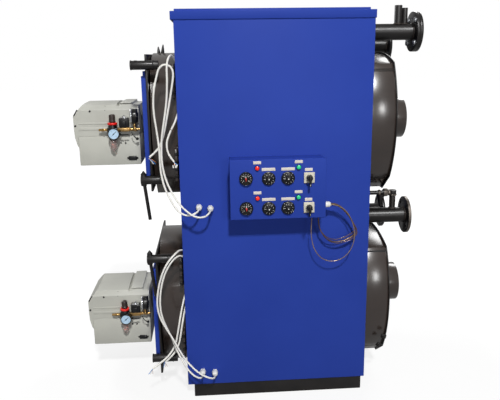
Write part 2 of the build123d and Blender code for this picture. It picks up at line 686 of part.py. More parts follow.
LOWER_LEAD_A = (
    (-366, -434, 141), (-366, -464, 142), (-388, -482, 150), (-424, -480, 178),
    (-458, -468, 232), (-484, -454, 286), (-505, -440, 340), (-528, -431, 390),
    (-547, -429, 440), (-556, -429, 495), (-552, -428, 568), (-535, -426, 644),
    (-506, -420, 704), (-470, -400, 740), (-440, -368, 730), (-423, -350, 688),
    (-422, -348, 620), (-430, -356, 556), (-451, -380, 496), (-465, -396, 430),
    (-478, -404, 362), (-490, -409, 300), (-518, -418, 250), (-560, -428, 215),
    (-604, -436, 186),
)
LOWER_LEAD_B = (
    (-307, -434, 135), (-307, -466, 136), (-330, -486, 148), (-376, -488, 172),
    (-432, -480, 228), (-474, -468, 296), (-500, -457, 348), (-528, -450, 395),
    (-554, -448, 445), (-568, -447, 505), (-563, -447, 574), (-545, -446, 652),
    (-514, -440, 720), (-472, -416, 760), (-452, -378, 764), (-422, -346, 742),
    (-407, -338, 680), (-407, -338, 610), (-416, -344, 540), (-438, -362, 478),
    (-454, -376, 410), (-466, -384, 340), (-478, -390, 280), (-508, -400, 232),
    (-546, -410, 206),
)
BUNDLE = (
    (241, -455, 982), (268, -455, 982), (304, -450, 956), (334, -444, 920),
    (358, -440, 878), (374, -438, 846), (352, -439, 822), (316, -442, 806),
    (276, -444, 798), (238, -446, 808), (208, -448, 838), (188, -450, 884),
    (188, -450, 935),
)
LOOP = (
    (241, -466, 985), (280, -468, 978), (318, -468, 948), (344, -466, 900),
    (357, -465, 846), (353, -464, 792), (332, -463, 746), (294, -462, 715),
    (248, -461, 706), (204, -460, 722), (172, -459, 762), (157, -458, 812),
    (154, -457, 860), (156, -456, 900), (158, -456, 935),
)


def lead(points, radius, name):
    """A round lead along straight runs joined by tangent arcs, as large as the runs allow."""
    corners = [Vector(p) for p in points]
    radii = []
    for before, corner, after in zip(corners, corners[1:], corners[2:]):
        turn = math.radians((corner - before).get_angle(after - corner))
        run = min((corner - before).length, (after - corner).length)
        radii.append(0.45 * run / math.tan(turn / 2))
    path = FilletPolyline(*corners, radius=radii)
    start = Plane(origin=corners[0], z_dir=corners[1] - corners[0])
    body = sweep(start * Circle(radius), path=path)
    expected = math.pi * radius ** 2 * path.length
    print(name, "length", round(path.length), "smallest radius", round(min(radii)),
          "volume ratio", round(body.volume / expected, 3))
    save(body, name)


save(base_frame(), "base_frame")
save(side_panel(-1), "near_side_panel")
save(side_panel(1), "far_side_panel")
save(front_casing_panel(), "front_casing_panel")
save(rear_casing_panel(), "rear_casing_panel")
save(top_cap(), "top_cap")

UNITS = (
    ("upper", UPPER_AXIS, UPPER_DOOR_RISE, UPPER_BURNER_DROP, UPPER_TOP_CLAMP_X,
     UPPER_BOTTOM_CLAMP_X, CLAMP_BOTTOM),
    ("lower", LOWER_AXIS, LOWER_DOOR_RISE, LOWER_BURNER_DROP, LOWER_CLAMP_X,
     LOWER_CLAMP_X, CLAMP_TOP),
)
for unit, axis, door_rise, burner_drop, top_x, bottom_x, handle in UNITS:
    door_mid = axis + door_rise
    burner_mid = door_mid - burner_drop
    save(shell(axis), f"{unit}_shell")
    save(tube_plate(axis), f"{unit}_tube_plate")
    save(furnace(axis), f"{unit}_furnace")
    save(furnace_end(axis), f"{unit}_furnace_end")
    save(door(axis, door_mid, burner_mid), f"{unit}_door")
    save(door_cover(door_mid, burner_mid), f"{unit}_door_cover")
    save(hinge_pin(axis), f"{unit}_hinge_pin")
    save(clamp_screws(axis, top_x, bottom_x, handle), f"{unit}_clamp_screws")
    save(burner_base(burner_mid), f"{unit}_burner_base")
    save(burner_hood(burner_mid), f"{unit}_burner_hood")
    save(blast_tube(burner_mid), f"{unit}_blast_tube")
    save(air_manifold(burner_mid), f"{unit}_air_manifold")
    save(regulator(burner_mid), f"{unit}_regulator")
    save(smoke_box(axis), f"{unit}_smoke_box")
    save(smoke_box_end(axis), f"{unit}_smoke_box_end")
    save(flue_collar(axis), f"{unit}_flue_collar")
    save(water_pipe(axis, RETURN_Y, RETURN_RISE, RETURN_END_X), f"{unit}_return_pipe")

save(upper_flow_pipe(), "upper_flow_pipe")
save(flange(UPPER_FLOW_END_X - FLANGE_T, FLOW_Y, UPPER_AXIS + FLOW_RISE), "upper_counter_flange")
save(lower_flow_pipe(), "lower_flow_pipe")
save(lower_flow_fitting(), "lower_flow_fitting")

save(control_box(), "control_box")
save(Compound([dial(x, z, DIAL_R, DIAL_T) for x, z in THERMOMETERS]), "thermometers")
save(Compound([dial(x, z, DIAL_R, KNOB_T) for x, z in THERMOSTATS]), "thermostats")
save(Compound([dial(x, z, LAMP_R, LAMP_T) for x, z in RED_LAMPS]), "red_lamps")
save(Compound([dial(x, z, LAMP_R, LAMP_T) for x, z in GREEN_LAMPS]), "green_lamps")
save(Compound([switch_plate(x, z) for x, z in SWITCHES]), "switch_plates")
save(switch_knob(*SWITCHES[0]), "upper_switch_knob")
save(switch_knob(*SWITCHES[1]), "lower_switch_knob")
save(Compound([gland(x, z) for x, z in UPPER_GLANDS + LOWER_GLANDS]), "cable_glands")
save(control_gland(), "control_gland")

lead(UPPER_LEAD_A, LEAD_R, "upper_lead_a")
lead(UPPER_LEAD_B, LEAD_R, "upper_lead_b")
lead(LOWER_LEAD_A, LEAD_R, "lower_lead_a")
lead(LOWER_LEAD_B, LEAD_R, "lower_lead_b")
lead(BUNDLE, BUNDLE_R, "capillary_bundle")
lead(LOOP, CAPILLARY_R, "capillary_loop")
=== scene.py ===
# %% [markdown]
# # Dressing a stacked twin boiler
# The measured solids of the boiler are loaded as a fixed frame, and every piece of this lesson
# is built around them in metres: +X towards the flues, -Y towards the control box, +Z up.
# Sheet metal keeps the shape that the measured solids give it. Small parts that the eye reads
# one by one, such as dials, gauges, nuts and screws, are modelled as a maker would turn, fold
# or mould them.

# %% Load the frame
import math

import bpy
from mathutils import Matrix, Vector


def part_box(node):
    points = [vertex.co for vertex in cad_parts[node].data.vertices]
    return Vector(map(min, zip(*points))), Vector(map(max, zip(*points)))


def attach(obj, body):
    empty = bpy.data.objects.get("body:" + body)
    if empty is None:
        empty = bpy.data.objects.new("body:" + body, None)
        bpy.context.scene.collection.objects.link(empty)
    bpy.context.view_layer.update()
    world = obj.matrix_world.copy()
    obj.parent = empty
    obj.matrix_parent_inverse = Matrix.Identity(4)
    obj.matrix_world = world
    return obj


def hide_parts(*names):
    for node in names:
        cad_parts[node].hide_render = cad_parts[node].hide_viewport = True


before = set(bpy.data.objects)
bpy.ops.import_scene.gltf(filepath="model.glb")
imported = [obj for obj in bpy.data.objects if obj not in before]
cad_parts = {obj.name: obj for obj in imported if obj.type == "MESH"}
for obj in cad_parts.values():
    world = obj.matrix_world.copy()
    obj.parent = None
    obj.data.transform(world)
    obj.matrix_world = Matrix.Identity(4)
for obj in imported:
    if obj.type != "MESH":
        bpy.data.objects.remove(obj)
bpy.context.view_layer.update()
MM = 0.001
print("loaded", len(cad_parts), "measured solids")

# %% [markdown]
# ## The camera
# The photographer stood in front of the side with the control box, a little left of its middle,
# with the lens above the controls and tipped down. The same place, tilt and field of view make
# every edge of the casing converge as it does there. The lens is rolled about its own axis,
# tipped down from level, and then turned on its tripod.

# %% Camera
CAMERA_PLACE = (-0.30434, -3.08432, 1.64829)
CAMERA_TURN = math.radians(-3.889)
CAMERA_DIP = math.radians(13.565)
CAMERA_ROLL = math.radians(-0.8095)
SENSOR_WIDTH = 36
LENS_LENGTH = 43.2
bpy.ops.object.camera_add(location=CAMERA_PLACE)
camera = bpy.context.object
aim = Matrix.Rotation(CAMERA_TURN, 4, "Z") @ Matrix.Rotation(math.pi / 2 - CAMERA_DIP, 4, "X")
aim = aim @ Matrix.Rotation(CAMERA_ROLL, 4, "Z")
camera.rotation_euler = aim.to_euler()
camera.data.sensor_width = SENSOR_WIDTH
camera.data.lens = LENS_LENGTH
bpy.context.scene.camera = camera
print("camera", [round(c, 3) for c in camera.location])

# %% [markdown]
# ## Colours and nodes
# Colours are written as the sRGB hex values that a painter would read off a sample, and one
# function turns them to the linear values that the shader works in. One more function adds a
# node with its settings and its links, so that each finish below reads as a short list.

# %% Colour and node helpers
def linear(code):
    """Turn an sRGB hex colour such as #2E4196 into linear RGBA."""
    channels = [int(code[i:i + 2], 16) / 255 for i in (1, 3, 5)]
    return [c / 12.92 if c <= 0.04045 else ((c + 0.055) / 1.055) ** 2.4 for c in channels] + [1]


def add_node(tree, kind, inputs=None, **settings):
    """Add one node with its settings, and set or link its inputs."""
    node = tree.nodes.new(kind)
    for key, value in settings.items():
        setattr(node, key, value)
    for socket, value in (inputs or {}).items():
        if isinstance(value, bpy.types.NodeSocket):
            tree.links.new(value, node.inputs[socket])
        else:
            node.inputs[socket].default_value = value
    return node


# %% [markdown]
# ## The finishes
# Nearly every finish on this boiler is a coat over steel or a moulding, and each has the same
# three layers of detail: a slow drift of tone over hands' breadths, a fine tooth that scatters
# light, and spots of dust or wear that change the gloss. One recipe makes these from three
# noise patterns whose sizes are given in millimetres, and the values make the difference.

# %% A recipe for coated and cast surfaces
def surface(name, dark, light, drift, tooth, depth, rough, metallic=0.0,
            stretch=(1, 1, 1), speck=None, speck_size=9, speck_share=0.3, coat=0.0, **fixed):
    """Build a material: dark and light hex tones; size of the drift, size of the tooth and depth
    of the tooth in millimetres; lowest and highest roughness; and 1 for a bare metal."""
    material = bpy.data.materials.new(name)
    material.use_nodes = True
    tree = material.node_tree
    tree.nodes.clear()
    place = add_node(tree, "ShaderNodeTexCoord").outputs["Object"]
    laid = add_node(tree, "ShaderNodeMapping", {0: place, 3: stretch}).outputs[0]
    slow = add_node(tree, "ShaderNodeTexNoise",
                    {"Vector": laid, "Scale": 1000 / drift, "Detail": 4.0, "Roughness": 0.55})
    fine = add_node(tree, "ShaderNodeTexNoise",
                    {"Vector": laid, "Scale": 1000 / tooth, "Detail": 3.0, "Roughness": 0.6})
    spread = add_node(tree, "ShaderNodeMapRange", {0: slow.outputs[0], 1: 0.3, 2: 0.7})
    colour = add_node(tree, "ShaderNodeMix", {0: spread.outputs[0], 6: linear(dark),
                                              7: linear(light)}, data_type="RGBA").outputs[2]
    gloss = add_node(tree, "ShaderNodeMapRange",
                     {0: slow.outputs[0], 1: 0.3, 2: 0.7, 3: rough[0], 4: rough[1]}).outputs[0]
    if speck:
        dots = add_node(tree, "ShaderNodeTexNoise", {"Vector": laid, "Scale": 1000 / speck_size,
                                                     "Detail": 5.0, "Roughness": 0.7})
        edge = 0.72 - 0.25 * speck_share
        mask = add_node(tree, "ShaderNodeMapRange",
                        {0: dots.outputs[0], 1: edge, 2: edge + 0.09, 4: 0.85}).outputs[0]
        colour = add_node(tree, "ShaderNodeMix", {0: mask, 6: colour, 7: linear(speck)},
                          data_type="RGBA").outputs[2]
        gloss = add_node(tree, "ShaderNodeMath", {0: mask, 1: 0.12, 2: gloss},
                         operation="MULTIPLY_ADD").outputs[0]
    bump = add_node(tree, "ShaderNodeBump", {"Strength": 0.6, "Distance": depth * MM,
                                             "Height": fine.outputs[0]})
    shader = add_node(tree, "ShaderNodeBsdfPrincipled",
                      {"Base Color": colour, "Roughness": gloss, "Metallic": metallic,
                       "Coat Weight": coat, "Normal": bump.outputs[0], **fixed})
    add_node(tree, "ShaderNodeOutputMaterial", {0: shader.outputs[0]})
    return material


# %% [markdown]
# The casing is sheet steel with a sprayed and baked blue enamel: even, a little glossy, with a
# faint orange-peel. The frame, doors, pipes and flues carry a black heat-resistant paint with
# a silky gloss that greys with handling. The drums are rolled sheet under a thin dark primer,
# so the brown of the steel comes through in long soft bands.

# %% Casing, drum and burner paints
blue_enamel = surface("blue_enamel", "#283E95", "#2B429C", 420, 4, 0.03, (0.4, 0.48),
                      **{"Specular IOR Level": 0.06})
black_paint = surface("black_heat_paint", "#0D0C0C", "#191615", 130, 2.5, 0.06, (0.3, 0.44),
                      speck="#2E2824", speck_size=14,
                      speck_share=0.15, **{"Specular IOR Level": 0.4})
drum_primer = surface("rolled_steel_primer", "#241C18", "#332924", 190, 3, 0.02, (0.2, 0.26),
                      stretch=(0.5, 1, 1.4),
                      speck="#463930", speck_size=26, speck_share=0.2,
                      **{"Specular IOR Level": 0.85})
mill_plate = surface("mill_scale_plate", "#191716", "#2B2522", 90, 5, 0.2, (0.5, 0.72),
                     speck="#4B382B", speck_size=16, speck_share=0.45)
burner_grey = surface("light_grey_powder_coat", "#ABABA3", "#B6B6AD", 160, 2.5, 0.04, (0.4, 0.5))

# %% [markdown]
# The bare metals keep a metal's own shine. Turned brass is warm and bright, the zinc of bolts
# and nuts is a bluish grey, and the chrome of the gauge rims is nearly a mirror. Weld beads are
# darker than the plate, with a coarse ripple.

# %% Metals
brass = surface("turned_brass", "#A5814C", "#BF9C68", 25, 1.5, 0.03, (0.24, 0.38), 1.0)
zinc_steel = surface("zinc_plated_steel", "#8D9094", "#A9ABAD", 30, 1.5, 0.03, (0.28, 0.42), 1.0)
chrome = surface("chrome_rim", "#B9BBBE", "#CFD0D2", 40, 1, 0.01, (0.1, 0.16), 1.0)
weld_metal = surface("weld_bead", "#211D1B", "#3B332D", 12, 4, 0.5, (0.45, 0.65), metallic=0.3)
# Lighter worn steel for the unions; ringed round a lower flange's rim it is a painted highlight.
steel_wear_and_sheen = surface("steel_wear_and_rim_highlight", "#4A443F", "#7B746D", 16, 2, 0.15, (0.35, 0.5),
                     metallic=0.85)
copper = surface("copper_wire", "#B06A43", "#C98258", 12, 1, 0.02, (0.25, 0.35), 1.0)

# %% [markdown]
# Plastics and glass: bezels and knobs are moulded black plastic, plates are grey, glands and
# connectors white nylon, leads white PVC. A lamp's lens is a deep transparent colour that looks
# solid by daylight, so it is a glossy saturated colour with a clear coat.

# %% Mouldings, lenses and sheaths
black_plastic = surface("moulded_black_plastic", "#09090A", "#111112", 40, 1.5, 0.03, (0.26, 0.36),
                        **{"Specular IOR Level": 0.35})
dial_black = surface("matt_black_dial", "#0B0B0C", "#121213", 50, 1, 0.01, (0.5, 0.6),
                     **{"Specular IOR Level": 0.2})
label_cream = surface("cream_label_laminate", "#C9C1B8", "#D6CFC6", 40, 1.5, 0.02, (0.4, 0.5))
plate_grey = surface("grey_switch_plate", "#C0BBA9", "#CFCAB9", 30, 1.5, 0.03, (0.35, 0.45))
white_nylon = surface("white_nylon", "#D9D8D2", "#E6E5DF", 30, 1.5, 0.04, (0.36, 0.48))
white_mark = surface("white_dial_print", "#D8D8D4", "#E4E4E0", 30, 1, 0.01, (0.5, 0.6))
dial_paper = surface("pale_blue_dial", "#A9C6DE", "#B8D2E6", 30, 1, 0.01, (0.4, 0.5))
dial_red = surface("red_needle", "#B7261D", "#C4322A", 20, 1, 0.01, (0.35, 0.45))
red_lens = surface("red_lamp_lens", "#EE1A0A", "#FF2A12", 12, 2, 0.05, (0.2, 0.28), coat=0.15)
green_lens = surface("green_lamp_lens", "#0FB877", "#1FDD90", 12, 2, 0.05, (0.2, 0.28), coat=0.15)
white_pvc = surface("white_pvc_sheath", "#DCDAD4", "#E8E6E0", 60, 2, 0.04, (0.38, 0.5),
                    speck="#BDB8AC", speck_size=18, speck_share=0.2)
dark_sheath = surface("dark_capillary_sheath", "#4A362B", "#6E5545", 50, 1.5, 0.04, (0.16, 0.26),
                      metallic=0.3)
# A lighter copy of the capillary finish for the long loop: its lightness is painted sheen.
capillary_painted_sheen = surface("capillary_painted_sheen", "#75604F", "#9A8571", 50, 1.5, 0.04, (0.2, 0.3),
                           metallic=0.4)
blue_core = surface("blue_core_wire", "#2C6FB3", "#3B80C4", 15, 1.5, 0.02, (0.35, 0.45))
clear_bowl = surface("clear_filter_bowl", "#E3CFC8", "#EFE0DA", 25, 2, 0.03, (0.06, 0.12),
                     coat=0.5, **{"Transmission Weight": 0.75, "IOR": 1.49})
knob_brown = surface("brown_black_nylon", "#241A17", "#33261F", 25, 1.5, 0.05, (0.35, 0.5))
lock_red = surface("red_acetal_ring", "#D81D17", "#EE2A22", 20, 1, 0.02, (0.3, 0.4))
gauge_ink = surface("blue_black_gauge_ink", "#14263A", "#1B3048", 20, 1, 0.01, (0.5, 0.6))
rust_brown = surface("sintered_filter_element", "#7A3B2C", "#9B5642", 10, 1, 0.1, (0.6, 0.75))
print("finishes", len(bpy.data.materials))

# %% [markdown]
# ## Handling pieces
# Operators act on everything that is selected, so each helper starts from an empty selection.
# A finished piece gets a name, one finish and the body it moves with. Where it takes over from
# a measured solid, that solid is hidden.

# %% Selecting, finishing and joining
def select_only(*pieces):
    """Leave edit mode and select just these pieces, the last one active."""
    if bpy.context.object and bpy.context.object.mode != "OBJECT":
        bpy.ops.object.mode_set(mode="OBJECT")
    bpy.ops.object.select_all(action="DESELECT")
    for piece in pieces:
        piece.select_set(True)
        bpy.context.view_layer.objects.active = piece


def settle(piece):
    """Put the piece's place, turn and scale into its mesh."""
    select_only(piece)
    bpy.ops.object.transform_apply(location=True, rotation=True, scale=True)
    return piece


def apply_modifier(piece, kind, **settings):
    """Add one modifier with its settings and apply it."""
    select_only(piece)
    modifier = piece.modifiers.new(kind.title(), kind)
    for key, value in settings.items():
        setattr(modifier, key, value)
    bpy.ops.object.modifier_apply(modifier=modifier.name)
    return piece


def soften(piece, width=1.0, segments=2, angle=30):
    """Round the edges that are sharper than an angle, width in millimetres, and shade smooth."""
    apply_modifier(piece, "BEVEL", width=width * MM, segments=segments, limit_method="ANGLE",
                   angle_limit=math.radians(angle), harden_normals=False, use_clamp_overlap=True)
    return smooth(piece)


def smooth(piece, angle=35):
    """Shade smooth wherever faces meet at less than an angle."""
    select_only(piece)
    bpy.ops.object.shade_smooth_by_angle(angle=math.radians(angle))
    return piece


def finish(piece, name, material, body="boiler", replaces=()):
    """Name a piece, give it its finish and let it ride on its body."""
    piece.name = name
    piece.data.name = name
    piece.data.materials.clear()
    piece.data.materials.append(material)
    if replaces:
        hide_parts(*replaces)
    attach(piece, body)
    return piece


def join(*pieces):
    """Join loose forms of one material into one piece, the first one kept."""
    select_only(*pieces)
    bpy.context.view_layer.objects.active = pieces[0]
    bpy.ops.object.join()
    return pieces[0]


# %% [markdown]
# ## Three ways to start a form
# A folded or moulded box starts from a cube between two corners. A turned part starts from one
# point that is extruded along its profile and then spun about its axis, as on a lathe. A sheet
# or casting whose shape is already measured starts from a copy of its solid: doubles merged,
# flat faces cleaned, and its edges broken, because no real edge is perfectly sharp.

# %% Box, lathe and measured copy
def block(low, high, width=1.0, segments=2):
    """A box between two corners in millimetres, with its edges rounded."""
    select_only()
    low, high = Vector(low), Vector(high)
    bpy.ops.mesh.primitive_cube_add(size=1, location=(low + high) / 2 * MM)
    piece = bpy.context.object
    piece.scale = (high - low) * MM
    settle(piece)
    return soften(piece, width, segments) if width else piece


SAME_POINT = 0.00001
TURNS = {"+X": (0, math.pi / 2, 0), "-X": (0, -math.pi / 2, 0), "+Y": (-math.pi / 2, 0, 0),
         "-Y": (math.pi / 2, 0, 0), "+Z": (0, 0, 0), "-Z": (math.pi, 0, 0)}


def turned(profile, place, axis="+Z", steps=40, width=0.0, angle=30):
    """Turn a profile of (radius, height) points in millimetres, standing at a place on an axis."""
    select_only()
    bpy.ops.mesh.primitive_plane_add(size=0.01, location=(0, 0, 0))
    piece = bpy.context.object
    bpy.ops.object.mode_set(mode="EDIT")
    bpy.ops.mesh.select_all(action="SELECT")
    bpy.ops.mesh.merge(type="CENTER")
    bpy.ops.transform.translate(value=(profile[0][0] * MM, 0, profile[0][1] * MM))
    for before, after in zip(profile, profile[1:]):
        step = ((after[0] - before[0]) * MM, 0, (after[1] - before[1]) * MM)
        bpy.ops.mesh.extrude_vertices_move(TRANSFORM_OT_translate={"value": step})
    bpy.ops.mesh.select_all(action="SELECT")
    bpy.ops.mesh.spin(steps=steps, angle=2 * math.pi, center=(0, 0, 0), axis=(0, 0, 1))
    bpy.ops.mesh.select_all(action="SELECT")
    bpy.ops.mesh.remove_doubles(threshold=SAME_POINT)
    bpy.ops.mesh.normals_make_consistent(inside=False)
    bpy.ops.object.mode_set(mode="OBJECT")
    piece.rotation_euler = TURNS[axis]
    piece.location = Vector(place) * MM
    settle(piece)
    return soften(piece, width, 2, angle) if width else smooth(piece, angle)


def measured(node, width=1.0, segments=2, angle=30):
    """A clean copy of a measured solid with its edges broken."""
    piece = bpy.data.objects.new(node + "_form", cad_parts[node].data.copy())
    bpy.context.collection.objects.link(piece)
    select_only(piece)
    bpy.ops.object.mode_set(mode="EDIT")
    bpy.ops.mesh.select_all(action="SELECT")
    bpy.ops.mesh.remove_doubles(threshold=SAME_POINT)
    bpy.ops.mesh.dissolve_limited(angle_limit=math.radians(0.5))
    bpy.ops.object.mode_set(mode="OBJECT")
    return soften(piece, width, segments, angle) if width else smooth(piece, angle)


# %% [markdown]
# ## Leads and capillaries
# Two white control leads climb from glands on the side panel round the front of each boiler
# unit, and fold down to its burner. Thin dark capillary tubes hang from the control box in a
# bundle and a loose loop. They come first, because a free cord decides how much room the model
# needs. Each is a smooth spline whose control points are the route of the measured lead.

# %% Routes
UPPER_LEAD_A = (
    (-357, -434, 973), (-357, -466, 973), (-382, -486, 958), (-420, -484, 956),
    (-455, -472, 979), (-485, -458, 1030), (-509, -449, 1086), (-522, -440, 1154),
    (-522, -431, 1245), (-531, -431, 1335), (-541, -431, 1420), (-536, -430, 1505),
    (-519, -428, 1566), (-510, -427, 1598), (-485, -427, 1617), (-456, -427, 1606),
    (-447, -427, 1578), (-452, -427, 1543), (-461, -427, 1495), (-470, -426, 1450),
    (-480, -425, 1405), (-494, -424, 1340), (-511, -420, 1280), (-532, -420, 1242),
    (-568, -426, 1214),
)
UPPER_LEAD_B = (
    (-305, -434, 967), (-305, -468, 967), (-328, -496, 950), (-366, -505, 950),
    (-404, -500, 972), (-444, -488, 1012), (-481, -468, 1072), (-503, -456, 1130),
    (-513, -452, 1190), (-513, -446, 1250), (-508, -448, 1310), (-492, -447, 1390),
    (-479, -446, 1470), (-474, -446, 1550), (-474, -445, 1612), (-464, -420, 1650),
    (-451, -374, 1654), (-430, -350, 1612), (-422, -350, 1540), (-424, -350, 1470),
    (-434, -358, 1412), (-450, -378, 1364), (-476, -390, 1318), (-495, -391, 1268),
    (-487, -391, 1216), (-462, -400, 1186),
)
LOWER_LEAD_A = (
    (-366, -434, 141), (-366, -464, 142), (-388, -482, 150), (-424, -480, 178),
    (-458, -468, 232), (-484, -454, 286), (-505, -440, 340), (-528, -431, 390),
    (-547, -429, 440), (-556, -429, 495), (-552, -428, 568), (-535, -426, 644),
    (-506, -420, 704), (-470, -400, 740), (-440, -368, 730), (-423, -350, 688),
    (-422, -348, 620), (-430, -356, 556), (-451, -380, 496), (-465, -396, 430),
    (-478, -404, 362), (-490, -409, 300), (-518, -418, 250), (-560, -428, 215),
    (-604, -436, 186),
)
LOWER_LEAD_B = (
    (-307, -434, 135), (-307, -466, 136), (-330, -486, 148), (-376, -488, 172),
    (-432, -480, 228), (-474, -468, 296), (-500, -457, 348), (-528, -450, 395),
    (-554, -448, 445), (-568, -447, 505), (-563, -447, 574), (-545, -446, 652),
    (-514, -440, 720), (-472, -416, 760), (-452, -378, 764), (-422, -346, 742),
    (-407, -338, 680), (-407, -338, 610), (-416, -344, 540), (-438, -362, 478),
    (-454, -376, 410), (-466, -384, 340), (-478, -390, 280), (-508, -400, 232),
    (-546, -410, 206),
)
CAPILLARY_FOLD = (
    (241, -455, 982), (268, -455, 982), (304, -450, 956), (334, -444, 920),
    (358, -440, 878), (374, -438, 846), (352, -439, 822), (316, -442, 806),
    (276, -444, 798), (238, -446, 808), (208, -448, 838), (188, -450, 884),
    (188, -450, 935),
)
CAPILLARY_LOOP = (
    (241, -466, 985), (280, -468, 978), (318, -468, 948), (344, -466, 900),
    (357, -465, 846), (353, -464, 792), (332, -463, 746), (294, -462, 715),
    (248, -461, 706), (204, -460, 722), (172, -459, 762), (157, -458, 812),
    (154, -457, 860), (156, -456, 900), (158, -456, 935),
)


def spline(name, points, radius):
    """A smooth cord through its control points in millimetres."""
    curve = bpy.data.curves.new(name, "CURVE")
    curve.dimensions = "3D"
    line = curve.splines.new("NURBS")
    line.points.add(len(points) - 1)
    for control, (x, y, z) in zip(line.points, points):
        control.co = (x * MM, y * MM, z * MM, 1)
    line.order_u = 3
    line.use_endpoint_u = True
    line.resolution_u = 6
    curve.bevel_depth = radius * MM
    curve.bevel_resolution = 3
    curve.use_fill_caps = True
    piece = bpy.data.objects.new(name, curve)
    bpy.context.collection.objects.link(piece)
    return piece


def route_points(piece):
    """Points along a spline, read from a copy of it that has no thickness."""
    bare = piece.data.copy()
    bare.bevel_depth = 0
    probe = bpy.data.objects.new("probe", bare)
    bpy.context.collection.objects.link(probe)
    mesh = bpy.data.meshes.new_from_object(probe)
    points = [v.co.copy() for v in mesh.vertices]
    bpy.data.objects.remove(probe)
    bpy.data.meshes.remove(mesh)
    return points


# %% The four leads
LEAD_RADIUS = 4.5
LEADS = (("upper_lead_a", UPPER_LEAD_A, 1.263), ("upper_lead_b", UPPER_LEAD_B, 1.423),
         ("lower_lead_a", LOWER_LEAD_A, 1.379), ("lower_lead_b", LOWER_LEAD_B, 1.457))
lead_pieces = {}
for name, route, length in LEADS:
    lead = spline(name + "_sheath", route, LEAD_RADIUS)
    finish(lead, name + "_sheath", white_pvc, "boiler", [name])
    lead_pieces[name] = lead
    print(name, "runs", len(route) - 1)

# %% The capillaries
CAPILLARY_RADIUS = 2
FOLD_SPREAD = ((-3, -3, 3, 0), (3, -2, -2, 5), (-2, 3, 6, 10), (3, 3, -5, -6))
for number, (dx, dy, swell, sag) in enumerate(FOLD_SPREAD):
    route = []
    last = len(CAPILLARY_FOLD) - 1
    for i, (x, y, z) in enumerate(CAPILLARY_FOLD):
        share = math.sin(math.pi * i / last) if i > 1 else 0
        route.append((x + swell * share, y + dy, z + dx - sag * share))
    fold = spline(f"capillary_{number}", route, CAPILLARY_RADIUS)
    finish(fold, f"capillary_{number}", dark_sheath, "boiler", ["capillary_bundle"])
# The loop's lighter finish is painted sheen, the light along its outer side.
loop = spline("capillary_long_loop", CAPILLARY_LOOP, CAPILLARY_RADIUS)
finish(loop, "capillary_long_loop", capillary_painted_sheen, "boiler", ["capillary_loop"])

# %% [markdown]
# ## Casing, drums, doors and pipes
# The casing is folded sheet, the drums are rolled plate and the pipes are plain tube, and their
# solids are already measured. Copies of them get broken edges, wide on thick plate and narrow
# on sheet, and the finish of the real surface.

# %% Pieces that keep their measured form
FORMS = (
    ("base_frame", black_paint, "black_paint", 3.0),
    ("near_side_panel", blue_enamel, "casing_blue", 1.6),
    ("far_side_panel", blue_enamel, "casing_blue", 1.6),
    ("front_casing_panel", blue_enamel, "casing_blue", 0.6),
    ("rear_casing_panel", blue_enamel, "casing_blue", 0.6),
    ("top_cap", blue_enamel, "casing_blue", 2.0),
    ("upper_flow_pipe", black_paint, "black_paint", 1.0),
    ("upper_counter_flange", black_paint, "black_paint", 1.5),
    ("lower_flow_pipe", black_paint, "black_paint", 1.0),
    ("lower_flow_fitting", black_paint, "black_paint", 1.5),
)
UNIT_FORMS = (
    ("shell", drum_primer, "black_steel", 1.5, "boiler"),
    ("tube_plate", mill_plate, "boiler_plate", 1.0, "boiler"),
    ("furnace", mill_plate, "boiler_plate", 1.0, "boiler"),
    ("furnace_end", mill_plate, "boiler_plate", 1.0, "boiler"),
    ("door", black_paint, "black_paint", 1.5, "door"),
    ("door_cover", blue_enamel, "casing_blue", 1.0, "door"),
    ("hinge_pin", black_paint, "black_paint", 1.0, "boiler"),
    ("clamp_screws", black_paint, "black_paint", 1.0, "door"),
    ("burner_base", burner_grey, "burner_grey", 3.0, "door"),
    ("blast_tube", zinc_steel, "steel", 1.0, "door"),
    ("smoke_box", drum_primer, "black_steel", 1.0, "boiler"),
    ("smoke_box_end", black_paint, "black_steel", 1.0, "boiler"),
    ("flue_collar", drum_primer, "black_paint", 1.0, "boiler"),
    ("return_pipe", black_paint, "black_paint", 1.0, "boiler"),
)
for node, material, slot, width in FORMS:
    finish(measured(node, width), node + "_piece", material, "boiler", [node])
for unit in ("upper", "lower"):
    for kind, material, slot, width, place in UNIT_FORMS:
        node = f"{unit}_{kind}"
        body = f"{unit}_door" if place == "door" else "boiler"
        finish(measured(node, width), node + "_piece", material, body, [node])
print("measured forms dressed")

# %% [markdown]
# ## Small helpers for fittings
# Most fittings are a few turned or boxed forms joined into one piece. A node's corners give
# their places, a small turned bar makes ticks, levers and grip ribs, and a ring of copies
# about an axis makes everything that goes round.

# %% Corners, bars, rings, nuts and wires
def corners(node):
    """Lowest and highest corner of a measured node, in millimetres."""
    low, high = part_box(node)
    return Vector(low) / MM, Vector(high) / MM


def bar(size, place, turn=(0, 0, 0), width=0.4, segments=1):
    """A small bar of a size in millimetres, centred at a place and turned in degrees."""
    half = Vector(size) / 2
    piece = block(-half, half, width, segments)
    piece.rotation_euler = [math.radians(a) for a in turn]
    piece.location = Vector(place) * MM
    return settle(piece)


def disc(radius, low, high):
    """The profile of a plain disc between two heights, for turned."""
    return ((0, low), (radius, low), (radius, high), (0, high))


def round_dial(place, radius, a):
    """A point on a circle about a place, in a dial that faces the near side."""
    return (place[0] + radius * math.sin(a), place[1], place[2] + radius * math.cos(a))


def ring_of(make, count, start=0.0, sweep=360.0):
    """Join the forms that make(angle) gives at even steps; a full sweep leaves no double."""
    steps = count if abs(sweep) >= 360 else count - 1
    return join(*[make(math.radians(start + sweep * i / steps)) for i in range(count)])


def hexagon(radius, height, place, axis="+Z", hole=0.0):
    """A hexagonal nut or bolt head with its corners chamfered, across corners 2 x radius."""
    chamfer = 0.12 * radius
    profile = [(radius, 0), (radius, height - chamfer), (radius - chamfer, height)]
    profile += [(hole, height), (hole, 0), (radius, 0)] if hole else [(0, height)]
    profile = profile if hole else [(0, 0)] + profile
    return turned(profile, place, axis, steps=6, width=0.3, angle=25)


